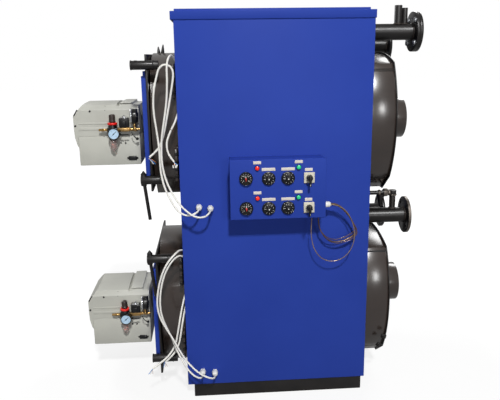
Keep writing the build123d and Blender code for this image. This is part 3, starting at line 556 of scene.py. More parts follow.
def wire(points, radius):
    """A thin bent wire or small hose through points in millimetres, as a mesh."""
    piece = spline("wire", points, radius)
    select_only(piece)
    bpy.ops.object.convert(target="MESH")
    return smooth(bpy.context.object, 60)


def digits(text, size, place):
    """Raised figures that face the near side, centred at a place."""
    select_only()
    bpy.ops.object.text_add(location=Vector(place) * MM, rotation=(math.pi / 2, 0, 0))
    piece = bpy.context.object
    piece.data.body = text
    piece.data.size = size * MM
    piece.data.extrude = 0.15 * MM
    piece.data.resolution_u = 2
    piece.data.align_x = "CENTER"
    piece.data.align_y = "CENTER"
    bpy.ops.object.convert(target="MESH")
    return settle(bpy.context.object)


def figures(place, radius, size, pairs):
    """Numbers on a dial, each with the angle in degrees at which it stands."""
    return [digits(str(number), size, round_dial(place, radius, math.radians(angle)))
            for number, angle in pairs]


# %% [markdown]
# ## Control box
# The controls sit in a shallow enclosure screwed to the side panel. Its cover stands a few
# millimetres proud of the folded body behind it, and that step draws the thin dark line beside
# the cover, so the enclosure is two bevelled boxes, one behind the other.

# %% Enclosure
box_low, box_high = corners("control_box")
FACE_Y = box_low.y
COVER_DEPTH = 24
BODY_INSET = 4
cover = block(box_low, (box_high.x, FACE_Y + COVER_DEPTH, box_high.z), 2.5, 3)
body = block(box_low + Vector((BODY_INSET, COVER_DEPTH - 1, 3)),
             box_high - Vector((BODY_INSET, 0, 3)), 1.5)
finish(join(cover, body), "control_box_case", blue_enamel, "boiler", ["control_box"])


def seats(node, radius):
    """Centres of the round instruments in a node, upper row first."""
    low, high = corners(node)
    columns = sorted({round(low.x + radius), round(high.x - radius)})
    rows = sorted({round(low.z + radius), round(high.z - radius)}, reverse=True)
    return [(x, z) for z in rows for x in columns]


DIAL_RADIUS = 30
LAMP_RADIUS = 11
PLATE_HALF = 24
THERMOMETERS = seats("thermometers", DIAL_RADIUS)
THERMOSTATS = seats("thermostats", DIAL_RADIUS)
RED_LAMPS = seats("red_lamps", LAMP_RADIUS)
GREEN_LAMPS = seats("green_lamps", LAMP_RADIUS)
SWITCHES = seats("switch_plates", PLATE_HALF)
print("instruments", len(THERMOMETERS + THERMOSTATS + RED_LAMPS + GREEN_LAMPS + SWITCHES))

# %% [markdown]
# A panel thermometer is a moulded bezel pressed over a matt black dial with white figures and
# a short needle. The bezel is one turned ring with a dished lip, which gives it the bright
# hairline that a real one shows.

# %% Thermometers
BEZEL = ((0, 0), (30, 0), (30.5, 5), (30, 11), (28.8, 13.4), (26.8, 13.4), (25, 9.5), (0, 9.5))


def facing(profile, x, z, steps=40, width=0.0):
    """A turned form that stands on the cover of the control box."""
    return turned(profile, (x, FACE_Y, z), "-Y", steps, width)


def dial_marks(place, radius, length, count, start, sweep):
    """White ticks round a dial that faces the near side."""
    return ring_of(lambda a: bar((1.4, 0.7, length), round_dial(place, radius, a),
                                 (0, math.degrees(a), 0), 0.2), count, start, sweep)


bezels, faces, marks, needles = [], [], [], []
for x, z in THERMOMETERS:
    bezels.append(facing(BEZEL, x, z, width=0.5))
    faces.append(facing(disc(25, 9.3, 9.9), x, z))
    marks.append(dial_marks((x, FACE_Y - 10, z), 20.8, 4.8, 11, -130, 260))
    marks += figures((x, FACE_Y - 10, z), 14, 6, ((0, -130), (40, -43), (80, 43), (120, 130)))
    marks.append(bar((2.6, 1, 13), (x - 0.6, FACE_Y - 11, z + 8), (0, -4, 0), 0.5))
    needles.append(facing(((0, 10), (4.4, 10), (4, 12), (0, 12.4)), x, z, 20))
    needles.append(bar((3, 1, 11), (x + 0.5, FACE_Y - 11, z - 6), (0, -4, 0), 0.5))
finish(join(*bezels), "thermometer_bezels", black_plastic, "boiler", ["thermometers"])
finish(join(*faces), "thermometer_dials", dial_black)
finish(join(*marks), "thermometer_marks", white_mark)
finish(join(*needles), "thermometer_needles", dial_red)

# %% [markdown]
# A capillary thermostat shows a fixed bezel and a moulded knob whose sloping skirt carries the
# scale. The grip is fluted, so ribs stand round a turned core.

# %% Thermostats
KNOB = ((0, 0), (30, 0), (30.5, 3), (29.5, 7), (26.6, 8), (26, 11), (24.8, 13), (13, 15),
        (11.4, 23), (10, 25.2), (0, 26))
knobs, marks = [], []
for x, z in THERMOSTATS:
    knobs.append(facing(KNOB, x, z, width=0.5))
    knobs.append(ring_of(lambda a: bar((1.8, 9, 1.8), round_dial((x, FACE_Y - 19.5, z), 11.4, a),
                                       (0, math.degrees(a), 0)), 14))
    marks.append(dial_marks((x, FACE_Y - 14.2, z), 20, 4.4, 9, -60, 270))
    marks.append(bar((18, 0.8, 1.6), (x - 14, FACE_Y - 15.2, z), (0, 0, 0), 0.2))
    marks.append(facing(((0, 25), (2.8, 25), (2.6, 26.4), (0, 26.8)), x, z, 20))
    marks += figures((x, FACE_Y - 8, z), 27.6, 4.5, ((30, -40), (60, 40), (90, 125)))
finish(join(*knobs), "thermostat_knobs", black_plastic, "boiler", ["thermostats"])
finish(join(*marks), "thermostat_marks", white_mark)

# %% [markdown]
# A pilot lamp is a domed lens held by a dark collar. The lens is turned as one closed form.

# %% Pilot lamps
COLLAR = ((8.6, 0), (11, 0), (11, 4), (10.4, 5.4), (9.2, 5.4), (8.6, 4), (8.6, 0))
LENS = ((0, 0), (9.4, 0), (9.4, 7.5), (8.4, 10), (5.5, 11.6), (0, 12))
for lamps, node, material in ((RED_LAMPS, "red_lamps", red_lens),
                              (GREEN_LAMPS, "green_lamps", green_lens)):
    lenses = [facing(LENS, x, z, 28) for x, z in lamps]
    finish(join(*lenses), node + "_lenses", material, "boiler", [node])
collars = [facing(COLLAR, x, z, 28, 0.3) for x, z in RED_LAMPS + GREEN_LAMPS]
finish(join(*collars), "lamp_collars", black_plastic)

# %% [markdown]
# Label plates are engraved laminate, here left blank: thin, pale, with softened corners. The
# small ones sit over lamps and switches, the long ones over the thermostats.

# %% Blank label plates
LAMP_LABEL_RISE = 24
SWITCH_LABEL_RISE = 36
LONG_LABEL_RISE = 41
plates = [(x, z + LAMP_LABEL_RISE, 35) for x, z in RED_LAMPS + GREEN_LAMPS]
plates += [(x - 2, z + SWITCH_LABEL_RISE, 34) for x, z in SWITCHES]
plates += [(x, z + LONG_LABEL_RISE, 60) for x, z in THERMOSTATS]
labels = [bar((length, 1.8, 13.5), (x, FACE_Y - 0.7, z), width=0.8, segments=2)
          for x, z, length in plates]
finish(join(*labels), "blank_label_plates", label_cream)

# %% [markdown]
# A rotary switch has a square escutcheon and a lever knob. The knob turns, so it rides on its
# own body and nothing of it is joined to the plate.

# %% Switches
plates, rings = [], []
for x, z in SWITCHES:
    plates.append(bar((48, 8, 48), (x, FACE_Y - 4, z), width=2.2, segments=3))
    plates.append(facing(((0, 7), (19, 7), (18.4, 9), (16, 9.6), (0, 9.6)), x, z))
    rings.append(facing(((0, 9), (14.4, 9), (14.4, 12), (13.6, 13.8), (0, 13.8)), x, z))
finish(join(*plates), "switch_escutcheons", plate_grey, "boiler", ["switch_plates"])
finish(join(*rings), "switch_rings", black_plastic)
for unit, (x, z) in zip(("upper", "lower"), SWITCHES):
    y = FACE_Y - 14
    knob = turned(((0, 0), (13.4, 0), (13.8, 5), (12.6, 15), (10, 19), (0, 20)),
                  (x, y, z), "-Y", 32)
    grip = bar((9.5, 18, 46), (x, y - 18, z - 11), width=2.6, segments=3)
    ears = [bar((6, 9, 11), (x + side * 6.6, y - 15, z + 6.5), (0, side * 32, 0), 2, 2)
            for side in (-1, 1)]
    finish(join(knob, grip, *ears), f"{unit}_switch_lever", black_plastic,
           f"{unit}_switch", [f"{unit}_switch_knob"])
    line = bar((1.2, 0.8, 9), (x, y - 27, z - 27), width=0.2)
    finish(line, f"{unit}_switch_line", white_mark, f"{unit}_switch")

# %% [markdown]
# Cable glands are white nylon: a hexagonal foot against the sheet and a domed nut with flutes
# that squeezes the seal round the lead.

# %% Glands and grommets
NEAR_SHEET_Y = -400
GLAND = ((0, 7), (13.6, 7), (13.8, 10), (13, 24), (11, 29.5), (7.2, 33), (5.2, 34), (5.2, 30),
         (0, 30))


def gland(place, axis):
    """A nylon cable gland standing on a sheet."""
    foot = hexagon(15.2, 8, place, axis)
    return join(foot, turned(GLAND, place, axis, 24, 0.4))


glands = [gland((route[0][0], NEAR_SHEET_Y, route[0][2]), "-Y") for name, route, length in LEADS]
finish(join(*glands), "lead_glands", white_nylon, "boiler", ["cable_glands"])
low, high = corners("control_gland")
finish(gland((low.x, (low.y + high.y) / 2, (low.z + high.z) / 2), "+X"), "coil_gland", white_nylon,
       "boiler", ["control_gland"])
GROMMET = ((3, 0), (9, 0), (9, 2.5), (7, 4), (4, 4), (3, 3), (3, 0))
grommets = [turned(GROMMET, route[-1], "-Z", 24) for route in (CAPILLARY_FOLD, CAPILLARY_LOOP)]
finish(join(*grommets), "box_grommets", black_plastic)
print("control box dressed")


# %% [markdown]
# ## Burners
# Each burner has a folded sheet base and a moulded hood whose outer end hangs down over the
# base. The hood is measured; a notch before its lid and the slope behind it are cut from that
# copy with booleans, and the lid is laid on as a thin plate, because they show against the sky
# as steps in its top line.

# %% Hood with its lid, notch and slope
HOOD_Y = -150


def cut(piece, *cutters):
    """Cut boxes out of a piece with exact booleans, and remove them."""
    for cutter in cutters:
        apply_modifier(piece, "BOOLEAN", operation="DIFFERENCE", solver="EXACT", object=cutter)
        bpy.data.objects.remove(cutter)
    return piece


def button(radius, height, place, axis="-Y", steps=20):
    """A low domed head, such as a screw cap or a rubber stud."""
    profile = ((0, 0), (radius, 0), (radius, 0.4 * height), (0.75 * radius, 0.85 * height),
               (0, height))
    return turned(profile, place, axis, steps)


burners = []
for unit in ("upper", "lower"):
    mid = corners(f"{unit}_burner_base")[1].z + 12
    burners.append((unit, mid))
    notch = block((-741, -160, mid + 129), (-728, 160, mid + 160), 0)
    behind = block((-668, -160, mid + 133), (-600, 160, mid + 160), 0)
    hood = cut(measured(f"{unit}_burner_hood", 0), notch, behind)
    soften(hood, 3.5, 3, 28)
    ribs = [bar((136, 3, 9), (-858, HOOD_Y - 0.2, mid + 49), width=1.4, segments=2),
            bar((136, 3, 15), (-858, HOOD_Y - 0.2, mid + 23), width=1.4, segments=2)]
    lid = bar((58, 250, 4), (-698, 0, mid + 143), width=1.5, segments=2)
    finish(join(hood, lid, *ribs), f"{unit}_hood_shell", burner_grey,
           f"{unit}_door", [f"{unit}_burner_hood"])
print("hoods", len(burners))

# %% [markdown]
# The hood has a vent slot by its bevel, painted as a thin black bar that stands for the shade
# inside it, and a few black screws, and the base has two cable grommets and an oval power inlet
# with screwed ears.

# %% Screws, slot, grommets and inlet
for unit, mid in burners:
    # The first bar is painted shade: it stands for the dark inside of the vent slot.
    dark = [bar((5, 2, 34), (-935, HOOD_Y - 0.6, mid + 102), (0, 32, 0), 0.9, 2),
            button(5, 3, (-940, HOOD_Y, mid + 39)), button(5, 3, (-867, HOOD_Y, mid + 108)),
            button(1.8, 2, (-795, -134, mid + 130)), button(1.8, 2, (-795, HOOD_Y, mid + 111)),
            button(4.2, 3, (-728, HOOD_Y, mid - 47)), button(4.2, 3, (-706, HOOD_Y, mid - 48))]
    dark += [bar((40, 7, 21), (-676, HOOD_Y - 2.5, mid - 122), width=3, segments=3),
             bar((54, 3, 10), (-676, HOOD_Y - 1, mid - 122), width=1.4, segments=2)]
    dark += [button(2, 2.5, (-676 + side * 23, HOOD_Y - 2.4, mid - 122)) for side in (-1, 1)]
    finish(join(*dark), f"{unit}_burner_studs", black_plastic, f"{unit}_door")

# %% [markdown]
# The compressed air for the nozzle is set by a filter regulator: a pull-up knob with grip ribs
# and a red lock ring, a body with ports to both sides, a round gauge on its front, and a clear
# bowl with a drain tip below, through which the filter element shows.

# %% Filter regulator
REG_KNOB = ((0, 0), (15, 0), (15.8, 3), (15.8, 7), (14, 9), (14, 31), (12.4, 36), (9, 38), (0, 38))
REG_BODY = ((0, 0), (16, 0), (19, 4), (19, 22), (17, 26), (20, 32), (20, 68), (17, 75), (0, 75))
LOCK_RING = ((15, 0), (22.5, 0), (23.4, 2), (23.4, 8), (22, 10), (15, 10), (15, 0))
BOWL = ((0, 0), (15, 0), (16.5, 5), (16.5, 30), (14.5, 42), (9, 50), (4, 53), (3, 58), (0, 58))
ELEMENT = ((0, 0), (8, 0), (8, 4), (6.5, 5), (6.5, 28), (9, 30), (9, 33), (0, 33))
BARB = ((0, 0), (9, 0), (9, 8), (6, 9), (6, 20), (8, 21), (6, 27), (8, 28), (6, 34), (6, 46),
        (0, 46))
CASE = ((0, 0), (22, 0), (27, 3), (27.5, 20), (26.8, 22.5), (24.4, 22.5), (23.6, 20.5), (0, 20.5))
REG_X = -760
REG_Y = -174
for unit, mid in burners:
    door = f"{unit}_door"
    knob = turned(REG_KNOB, (REG_X, REG_Y, mid + 56), "+Z", 36, 0.4)
    ribs = ring_of(lambda a: bar((1.6, 1.6, 21),
                                 (REG_X + 14 * math.sin(a), REG_Y + 14 * math.cos(a), mid + 75.5),
                                 (0, 0, -math.degrees(a))), 20)
    finish(join(knob, ribs), f"{unit}_regulator_knob", knob_brown, door)
    ring = turned(LOCK_RING, (REG_X, REG_Y, mid + 45), "+Z", 36, 0.5)
    finish(ring, f"{unit}_lock_ring", lock_red, door)
    gauge = (REG_X + 7, REG_Y - 11, mid + 3)
    parts = [turned(REG_BODY, (REG_X, REG_Y, mid - 30), "+Z", 36, 0.5),
             bar((50, 26, 22), (REG_X, REG_Y, mid + 20), width=3, segments=3),
             turned(CASE, gauge, "-Y", 48, 0.5)]
    finish(join(*parts), f"{unit}_regulator_body", black_plastic, door,
           [f"{unit}_regulator"])
    face = turned(disc(23.6, 20, 21), gauge, "-Y", 40)
    finish(face, f"{unit}_small_gauge_dial", dial_paper, door)
    dial = (gauge[0], gauge[1] - 21, gauge[2])
    prints = [ring_of(lambda a: bar((1.3, 0.5, 3.4), round_dial(dial, 20, a),
                                    (0, math.degrees(a), 0), 0.1), 13, -135, 270),
              bar((2.2, 0.8, 26), (gauge[0] + 3, gauge[1] - 21.6, gauge[2] + 3), (0, 48, 0), 0.3),
              button(3, 1.8, (gauge[0], gauge[1] - 20.5, gauge[2]))]
    prints += [digits(text, 5.5, (dial[0] + dx, dial[1], dial[2] + dz))
               for text, dx, dz in (("0", -10, -10), ("4", -8, 11), ("8", 11, -9))]
    finish(join(*prints), f"{unit}_small_gauge_print", gauge_ink, door)
    finish(turned(BOWL, (REG_X, REG_Y, mid - 29), "-Z", 36), f"{unit}_filter_bowl", clear_bowl,
           door)
    finish(turned(ELEMENT, (REG_X, REG_Y, mid - 30.5), "-Z", 24), f"{unit}_filter_element",
           rust_brown, door)
    barb = turned(BARB, (REG_X - 20, REG_Y, mid + 20), "-X", 24, 0.3)
    finish(barb, f"{unit}_hose_barb", brass, door)

# %% [markdown]
# From the regulator the air goes through a solid brass manifold, with hexagon unions at its
# ends, to a solenoid valve with a moulded coil on top. A larger gauge stands on a tee and
# looks outwards past the end of the burner.

# %% Manifold, solenoid and side gauge
RUN = ((0, 0), (7, 0), (7, 6), (9, 7), (9, 11), (7, 12), (7, 22), (9.5, 23), (9.5, 31), (7, 32),
       (7, 50), (0, 50))
STEM = ((0, 0), (10, 0), (10, 8), (7, 9), (7, 16), (9, 17), (9, 25), (5, 26), (5, 34), (0, 34))
BACK = ((0, 0), (14, 0), (20, 2), (33, 4), (34.5, 7), (34.5, 30), (31, 31), (0, 31))
RIM = ((31, 28), (35.6, 28), (36, 30), (36, 34.5), (35, 36), (32.5, 36), (31, 33.5), (31, 28))
AIR_Y = -173
COIL_X = -704
COIL_Y = -174
for unit, mid in burners:
    door = f"{unit}_door"
    z = mid + 21
    side_gauge = (-634, -190, mid + 85)
    metal = [bar((52, 22, 18), (-706, AIR_Y, z), width=1.4, segments=2),
             turned(RUN, (-681, AIR_Y, z), "+X", 24, 0.3),
             hexagon(10.5, 9, (-742, AIR_Y, z), "+X"), hexagon(11, 8, (-654, AIR_Y, z), "+X"),
             turned(STEM, (-655, -176, z), "+Z", 24, 0.3), hexagon(9, 7, (-655, -176, mid + 38)),
             turned(disc(8, 0, 24), (-660, AIR_Y, z), "+Y", 24, 0.6)]
    finish(join(*metal), f"{unit}_brass_manifold", brass, door, [f"{unit}_air_manifold"])
    coil = bar((46, 40, 44), (COIL_X, COIL_Y, mid + 54), width=3.4, segments=3)
    plug = bar((22, 12, 24), (COIL_X, -197, mid + 52), width=2.4, segments=3)
    rear = turned(BACK, side_gauge, "-X", 48, 0.6)
    handle = bar((38, 4, 6), (COIL_X, -187, mid - 2), (0, -3, 0), 1.8, 3)
    stub = bar((12, 12, 10), (-727, -182, mid - 1), width=2.4, segments=2)
    tail = wire(((-671, -186, mid + 12), (-669, -190, mid + 2), (-660, -190, mid - 10),
                 (-650, -186, mid - 20), (-645, -184, mid - 24)), 2.2)
    bulb = turned(((0, 0), (3, 0.4), (6.2, 3.5), (7, 7), (6.2, 10.5), (3, 13.4), (0, 14)),
                  (-645, -182, mid - 31), "+Z", 20)
    finish(join(coil, plug, rear, handle, stub, tail, bulb), f"{unit}_solenoid_coil", black_plastic,
           door)
    top = bar((34, 28, 2.6), (COIL_X, COIL_Y, mid + 77), width=0.9, segments=2)
    nut = hexagon(8, 6, (COIL_X, COIL_Y, mid + 78))
    stud = turned(((0, 0), (3, 0), (3, 4), (2, 5), (0, 5)), (COIL_X, COIL_Y, mid + 84), "+Z", 16)
    rim = turned(RIM, side_gauge, "-X", 48, 0.4)
    finish(join(top, nut, stud, rim), f"{unit}_bright_trim", chrome, door)
    dial = turned(disc(31.2, 31, 32.5), side_gauge, "-X", 40)
    finish(dial, f"{unit}_side_gauge_dial", label_cream, door)
print("burners dressed")


# %% [markdown]
# ## Door clamps
# The clamp sleeves are thick tube with a rolled collar, and a clamp's forcing nut has a pointed
# cap. The cross-hole near the outer end and the open bore are not cut: black discs over them are
# painted shade. The lug strips that they pull on are bolted to the shell with hexagon screws.

# %% Collars, caps and lug screws
UPPER_AXIS = 1335
LOWER_AXIS = 430
UNITS = (("upper", UPPER_AXIS), ("lower", LOWER_AXIS))
CLAMP_Y = -332
SLEEVE_LENGTH = 98
CLAMP_PLACES = {"upper": ((-641, 277), (-622, -243)), "lower": ((-614, 277), (-614, -243))}
COLLAR_RING = ((14, 0), (21, 0), (21.8, 1.5), (21.8, 4), (21, 5.5), (14, 5.5), (14, 0))
POINTED = ((0, 0), (12.6, 0), (13.4, 1.5), (13.4, 5), (9, 9), (4, 17), (1.5, 20), (0, 20.5))
LUG_X = -455
LUG_Y = -349
for unit, axis in UNITS:
    rings, dark, screws = [], [], []
    for x, rise in CLAMP_PLACES[unit]:
        z = axis + rise
        rings.append(turned(COLLAR_RING, (x, CLAMP_Y, z), "+X", 36, 0.5))
        rings.append(turned(COLLAR_RING, (x + SLEEVE_LENGTH, CLAMP_Y, z), "+X", 36, 0.5))
        # Painted shade: black discs stand for the dark inside of the cross-hole and of the open
        # bore.
        dark.append(button(8, 1.6, (x + 24, CLAMP_Y, z + 19.6), "+Z", 24))
        dark.append(button(13.5, 1, (x + 1, CLAMP_Y, z), "-X", 28))
    x, rise = CLAMP_PLACES[unit][1 if unit == "upper" else 0]
    rings.append(turned(POINTED, (x + 13, CLAMP_Y, axis + rise + 24), "+Z", 28))
    finish(join(*rings), f"{unit}_clamp_collars", black_paint, f"{unit}_door")
    finish(join(*dark), f"{unit}_clamp_hole_shade", black_plastic, f"{unit}_door")
    for rise in (207, -173):
        for step in (-52, -18, 18, 52):
            z = axis + rise + step
            screws.append(hexagon(9, 6, (LUG_X, LUG_Y, z), "-Y"))
            screws.append(turned(((0, 0), (4.5, 0), (4.5, 11), (3.6, 12), (0, 12)),
                                 (LUG_X, LUG_Y, z), "-Y", 16))
    finish(join(*screws), f"{unit}_lug_screws", black_paint, "boiler")
print("clamps dressed")

# %% [markdown]
# Two thin pointed lifting ears stand on the crown of the upper shell just behind its door.

# %% Lifting ears
EAR_FOOT = 1655
EAR_HEIGHT = 43
ears = []
for x, top, lean in ((-536, 1697, -4), (-519, 1708, 5)):
    ear = turned(((0, 0), (9, 0), (8.6, 12), (6, 26), (3.4, 38), (0, EAR_HEIGHT)),
                 (0, 0, 0), "+Z", 16)
    ear.scale = (1.0, 1.6, (top - EAR_FOOT) / EAR_HEIGHT)
    ear.rotation_euler = (0, math.radians(lean), 0)
    ear.location = Vector((x, 0, EAR_FOOT)) * MM
    ears.append(settle(ear))
finish(join(*ears), "lifting_ears", black_paint, "boiler")

# %% [markdown]
# ## Smoke boxes
# The sheets of a smoke box overlap along narrow seams beside its corners, and the shade in each
# seam's gap is painted as a matt black strip. A strip follows the measured drum: a copy of it is
# cut down by two level planes and given a little thickness outwards. Two bolted latch lugs close
# the lower drum's end.

# %% Seams and latch lugs
def strip(node, low, high, thickness):
    """The part of a measured solid between two heights, thickened outwards."""
    piece = measured(node, 0)
    select_only(piece)
    bpy.ops.object.mode_set(mode="EDIT")
    for height, below in ((low, True), (high, False)):
        bpy.ops.mesh.select_all(action="SELECT")
        bpy.ops.mesh.bisect(plane_co=(0, 0, height * MM), plane_no=(0, 0, 1),
                            clear_inner=below, clear_outer=not below)
    bpy.ops.object.mode_set(mode="OBJECT")
    apply_modifier(piece, "SOLIDIFY", thickness=thickness * MM, offset=1)
    return smooth(piece)


SEAMS = {"upper": ((232, 235.5), (240, 243.5), (-286, -283)), "lower": ((247, 254), (-286, -283))}
for unit, axis in UNITS:
    seams = [strip(f"{unit}_smoke_box", axis + low, axis + high, 1.6) for low, high in SEAMS[unit]]
    # The matt black of these strips is painted shade, standing for the dark gap of each lap seam.
    finish(join(*seams), f"{unit}_smoke_box_seam_shade", dial_black)
lugs = [bar((26, 12, 20), (556, -326, 246), (0, 12, 0), 2.5, 2),
        hexagon(8, 8, (556, -331, 246), "-Y"),
        bar((24, 12, 22), (536, -312, 192), (0, 40, 0), 2.5, 2),
        hexagon(8, 8, (536, -317, 192), "-Y")]
finish(join(*lugs), "latch_lugs", black_paint)

# %% [markdown]
# ## Pipework
# Where a flange or a branch meets its pipe there is a weld bead, coarser and darker than the
# paint. The paired flanges on the upper flow pipe are drawn up by hexagon bolts and the lower
# branch is threaded. A ring of lighter steel round a lower flange's rim is a painted highlight.

# %% Welds, bolts, threads and rim highlight
BEAD = ((0, 0), (5.4, 0), (5, 2.2), (2.6, 4.6), (0, 5.4))
FLOW_Y = -160
FLOW_RISE = 412
RETURN_RISE = 355
UNION_Z = 960
UPPER_FLOW = (FLOW_Y, UPPER_AXIS + FLOW_RISE)
LOWER_FLOW = (FLOW_Y, LOWER_AXIS + FLOW_RISE)


def bead(radius, place, axis):
    """A weld bead round a pipe of a radius."""
    profile = [(radius - 0.6 + r, h) for r, h in BEAD] + [(radius - 0.6, 0)]
    return turned(profile, place, axis, 36)


welds = [bead(38, (682, *UPPER_FLOW), "-X"), bead(38, (683, *LOWER_FLOW), "-X"),
         bead(18, (614, FLOW_Y, 1783), "+Z"), bead(13, (646, FLOW_Y, 1783), "+Z"),
         bead(15, (623, FLOW_Y, 878), "+Z")]
welds += [bead(38, (648, 160, axis + RETURN_RISE), "-X") for unit, axis in UNITS]
finish(join(*welds), "weld_beads", weld_metal)
bolt_places = [(682.5, UPPER_FLOW[0] + side * 51.3, UPPER_FLOW[1] + rise * 51.3)
               for side in (-1, 1) for rise in (-1, 1)]
bolts = [hexagon(14, 9, place, "-X") for place in bolt_places]
bolts += [turned(disc(16, 0, 2), place, "-X", 28, 0.3) for place in bolt_places]
finish(join(*bolts), "flange_bolts", zinc_steel)
THREAD = ((14.6, 0), (16.6, 1.3), (14.6, 2.6), (14.6, 0))
threads = [turned(THREAD, (623, FLOW_Y, 893 + 4.6 * i), "+Z", 32) for i in range(11)]
finish(join(*threads), "branch_threads", weld_metal)
union = hexagon(21, 22, (575, FLOW_Y, UNION_Z), "+X", 10)
nuts = [hexagon(15, 12, (548, FLOW_Y, UNION_Z), "+X", 10),
        hexagon(22, 9, (623, FLOW_Y, 944), "+Z", 12),
        turned(((10, 0), (14, 1), (15, 6), (14, 11), (10, 12), (10, 0)),
               (598, FLOW_Y, UNION_Z), "+X", 28)]
finish(join(union, *nuts), "fitting_unions", steel_wear_and_sheen)
# Painted highlight: a lighter steel ring round the rim stands for the light on it.
sheen_ring = turned(((91.6, 0), (93.1, 1), (93.1, 13), (91.6, 14), (91.6, 0)),
              (683, *LOWER_FLOW), "+X", 72)
finish(sheen_ring, "flange_rim_highlight", steel_wear_and_sheen)
print("pipework dressed")


# %% [markdown]
# ## Ends and ties of the leads
# Each lead ends bare: the sheath stops and three thin cores spread out of it, and one upper
# lead keeps its pair of push-on connectors. Dark ties wrap both upper leads and one lower lead.
# All of these belong to the cords, so they are gathered by lead, and the ties follow points
# read from the cord's own line.

# %% Cores, connectors and ties
def tie(lead, height, radius=5.6):
    """A thin strap round a lead where its free half passes a height, with a short tail."""
    line = route_points(lead)
    half = line[len(line) // 2:]
    spot = min(range(1, len(half) - 1), key=lambda i: abs(half[i].z - height * MM))
    along = (half[spot + 1] - half[spot - 1]).normalized()
    side = along.cross(Vector((0, 1, 0))).normalized()
    out = side.cross(along)
    middle = half[spot] / MM
    loop = [middle + (side * math.cos(t) + out * math.sin(t)) * radius
            for t in [math.radians(30 * i) for i in range(13)]]
    strap = wire([tuple(p) for p in loop], 1.2)
    tail = wire([tuple(loop[0]), tuple(loop[0] + side * 7 + along * 2)], 0.9)
    return join(strap, tail)


CORES = (
    ("upper_lead_a", ((-544, -428, 1184), (-552, -424, 1182), (-538, -431, 1190))),
    ("upper_lead_b", ((-446, -408, 1172), (-456, -410, 1160), (-468, -412, 1162))),
    ("lower_lead_a", ((-626, -440, 160), (-618, -436, 158), (-606, -438, 160))),
    ("lower_lead_b", ((-556, -412, 180), (-546, -408, 176), (-537, -414, 182))),
)
CORE_FINISHES = ((blue_core, "lead_dark"), (white_pvc, "lead_white"), (copper, "brass"))
carried = {}
for name, tips in CORES:
    line = route_points(lead_pieces[name])
    end, before = line[-1] / MM, line[-6] / MM
    onward = (end - before).normalized()
    carried[name] = []
    for number, (tip, (material, slot)) in enumerate(zip(tips, CORE_FINISHES)):
        tip = Vector(tip)
        points = [tuple(p) for p in (end - onward * 3, end + onward * 7, (end + tip) / 2, tip)]
        core = wire(points, 1.5 if number < 2 else 1.0)
        carried[name].append(finish(core, f"{name}_core_{number}", material))
links = [bar((7, 6, 15), (-452, -409, 1167), (0, 30, 0), 1.4, 2),
         bar((6, 6, 13), (-466, -411, 1166), (0, -14, 0), 1.4, 2)]
connectors = finish(join(*links), "push_on_connectors", white_nylon)
carried["upper_lead_b"].append(connectors)
for name, height in (("upper_lead_a", 1262), ("lower_lead_a", 307), ("upper_lead_b", 1330)):
    strap = tie(lead_pieces[name], height)
    carried[name].append(finish(strap, name + "_tie", dark_sheath))

# %% [markdown]
# ## Floor, light and sky
# The boiler stands alone on a pale floor. The key stands high and far behind the camera and
# throws the control box's shadow. Two tall lamps near the horizon lie in the drums' reflections,
# a weak one fills from the left, and two behind draw the edges. Floor and sky show white to the
# camera and are dimmer in reflections. They throw hardly any light, so the shadows stay.

# %% Floor
def background(tree, shown, mirrored, lighting):
    """Strength of a pale background for camera rays, for reflections and for lighting."""
    ray = add_node(tree, "ShaderNodeLightPath").outputs
    other = add_node(tree, "ShaderNodeMath", {0: ray["Is Glossy Ray"],
                                              1: ray["Is Transmission Ray"]},
                     operation="MAXIMUM").outputs[0]
    mirror = add_node(tree, "ShaderNodeMapRange", {0: other, 3: lighting, 4: mirrored}).outputs[0]
    seen = {0: ray["Is Camera Ray"], 2: mirror, 3: shown}
    return add_node(tree, "ShaderNodeMix", seen).outputs[0]


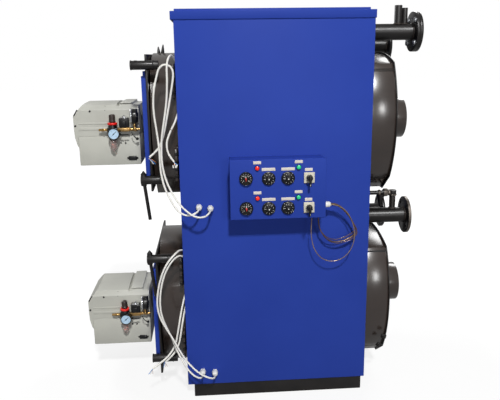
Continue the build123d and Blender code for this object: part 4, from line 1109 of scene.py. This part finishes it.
bpy.ops.mesh.primitive_plane_add(size=60, location=(0, 0, -0.0005))
floor = bpy.context.object
floor.name = "floor"
floor_material = bpy.data.materials.new("pale_floor")
floor_material.use_nodes = True
tree = floor_material.node_tree
tree.nodes.clear()
place = add_node(tree, "ShaderNodeTexCoord").outputs["Object"]
distance = add_node(tree, "ShaderNodeVectorMath", {0: place}, operation="LENGTH").outputs["Value"]
FADE_START, FADE_END = 1.2, 3.2
fade = add_node(tree, "ShaderNodeMapRange",
                {0: distance, 1: FADE_START, 2: FADE_END, 3: 0.8, 4: 1.0}).outputs[0]
glow = background(tree, fade, 0.25, 0.0)
matt = add_node(tree, "ShaderNodeBsdfDiffuse", {"Color": (0.2, 0.2, 0.2, 1)}).outputs[0]
lit = add_node(tree, "ShaderNodeEmission", {"Color": (1, 1, 1, 1), "Strength": glow}).outputs[0]
both = add_node(tree, "ShaderNodeAddShader", {0: matt, 1: lit}).outputs[0]
add_node(tree, "ShaderNodeOutputMaterial", {0: both})
floor.data.materials.append(floor_material)

# %% Sky
world = bpy.data.worlds.new("pale_sky")
bpy.context.scene.world = world
world.use_nodes = True
tree = world.node_tree
tree.nodes.clear()
strength = background(tree, 1.0, 0.5, 0.05)
sky = add_node(tree, "ShaderNodeBackground", {"Color": (1, 1, 1, 1), "Strength": strength})
add_node(tree, "ShaderNodeOutputWorld", {0: sky.outputs[0]})


# %% Lamps
def soft_lamp(name, place, target, size, power, tall=None):
    """A soft rectangular lamp that faces a target, in metres and watts."""
    bpy.ops.object.light_add(type="AREA", location=place)
    lamp = bpy.context.object
    lamp.name = name
    lamp.data.shape = "RECTANGLE"
    lamp.data.size = size
    lamp.data.size_y = tall or size
    lamp.data.energy = power
    lamp.rotation_euler = (Vector(target) - Vector(place)).to_track_quat("-Z", "Y").to_euler()
    return lamp


soft_lamp("key", (0.5, -10, 10.35), (0, -0.4, 0.95), 1.0, 1680)
soft_lamp("right_horizon", (6.4, -20, 4.9), (0.5, 0, 1.2), 2.6, 620, 3.2)
soft_lamp("left_horizon", (-1.95, -20, 4.9), (-0.5, 0, 1.2), 1.8, 420, 3.2)
soft_lamp("side", (-3.4, -2.2, 2.0), (-0.6, 0, 1.0), 1.2, 8)
soft_lamp("rim", (-2.6, 2.0, 3.4), (-0.4, 0, 1.1), 1.4, 50)
soft_lamp("back", (2.6, 3.0, 3.2), (0.3, 0, 0.9), 1.6, 70)
bpy.context.scene.view_settings.view_transform = "Standard"
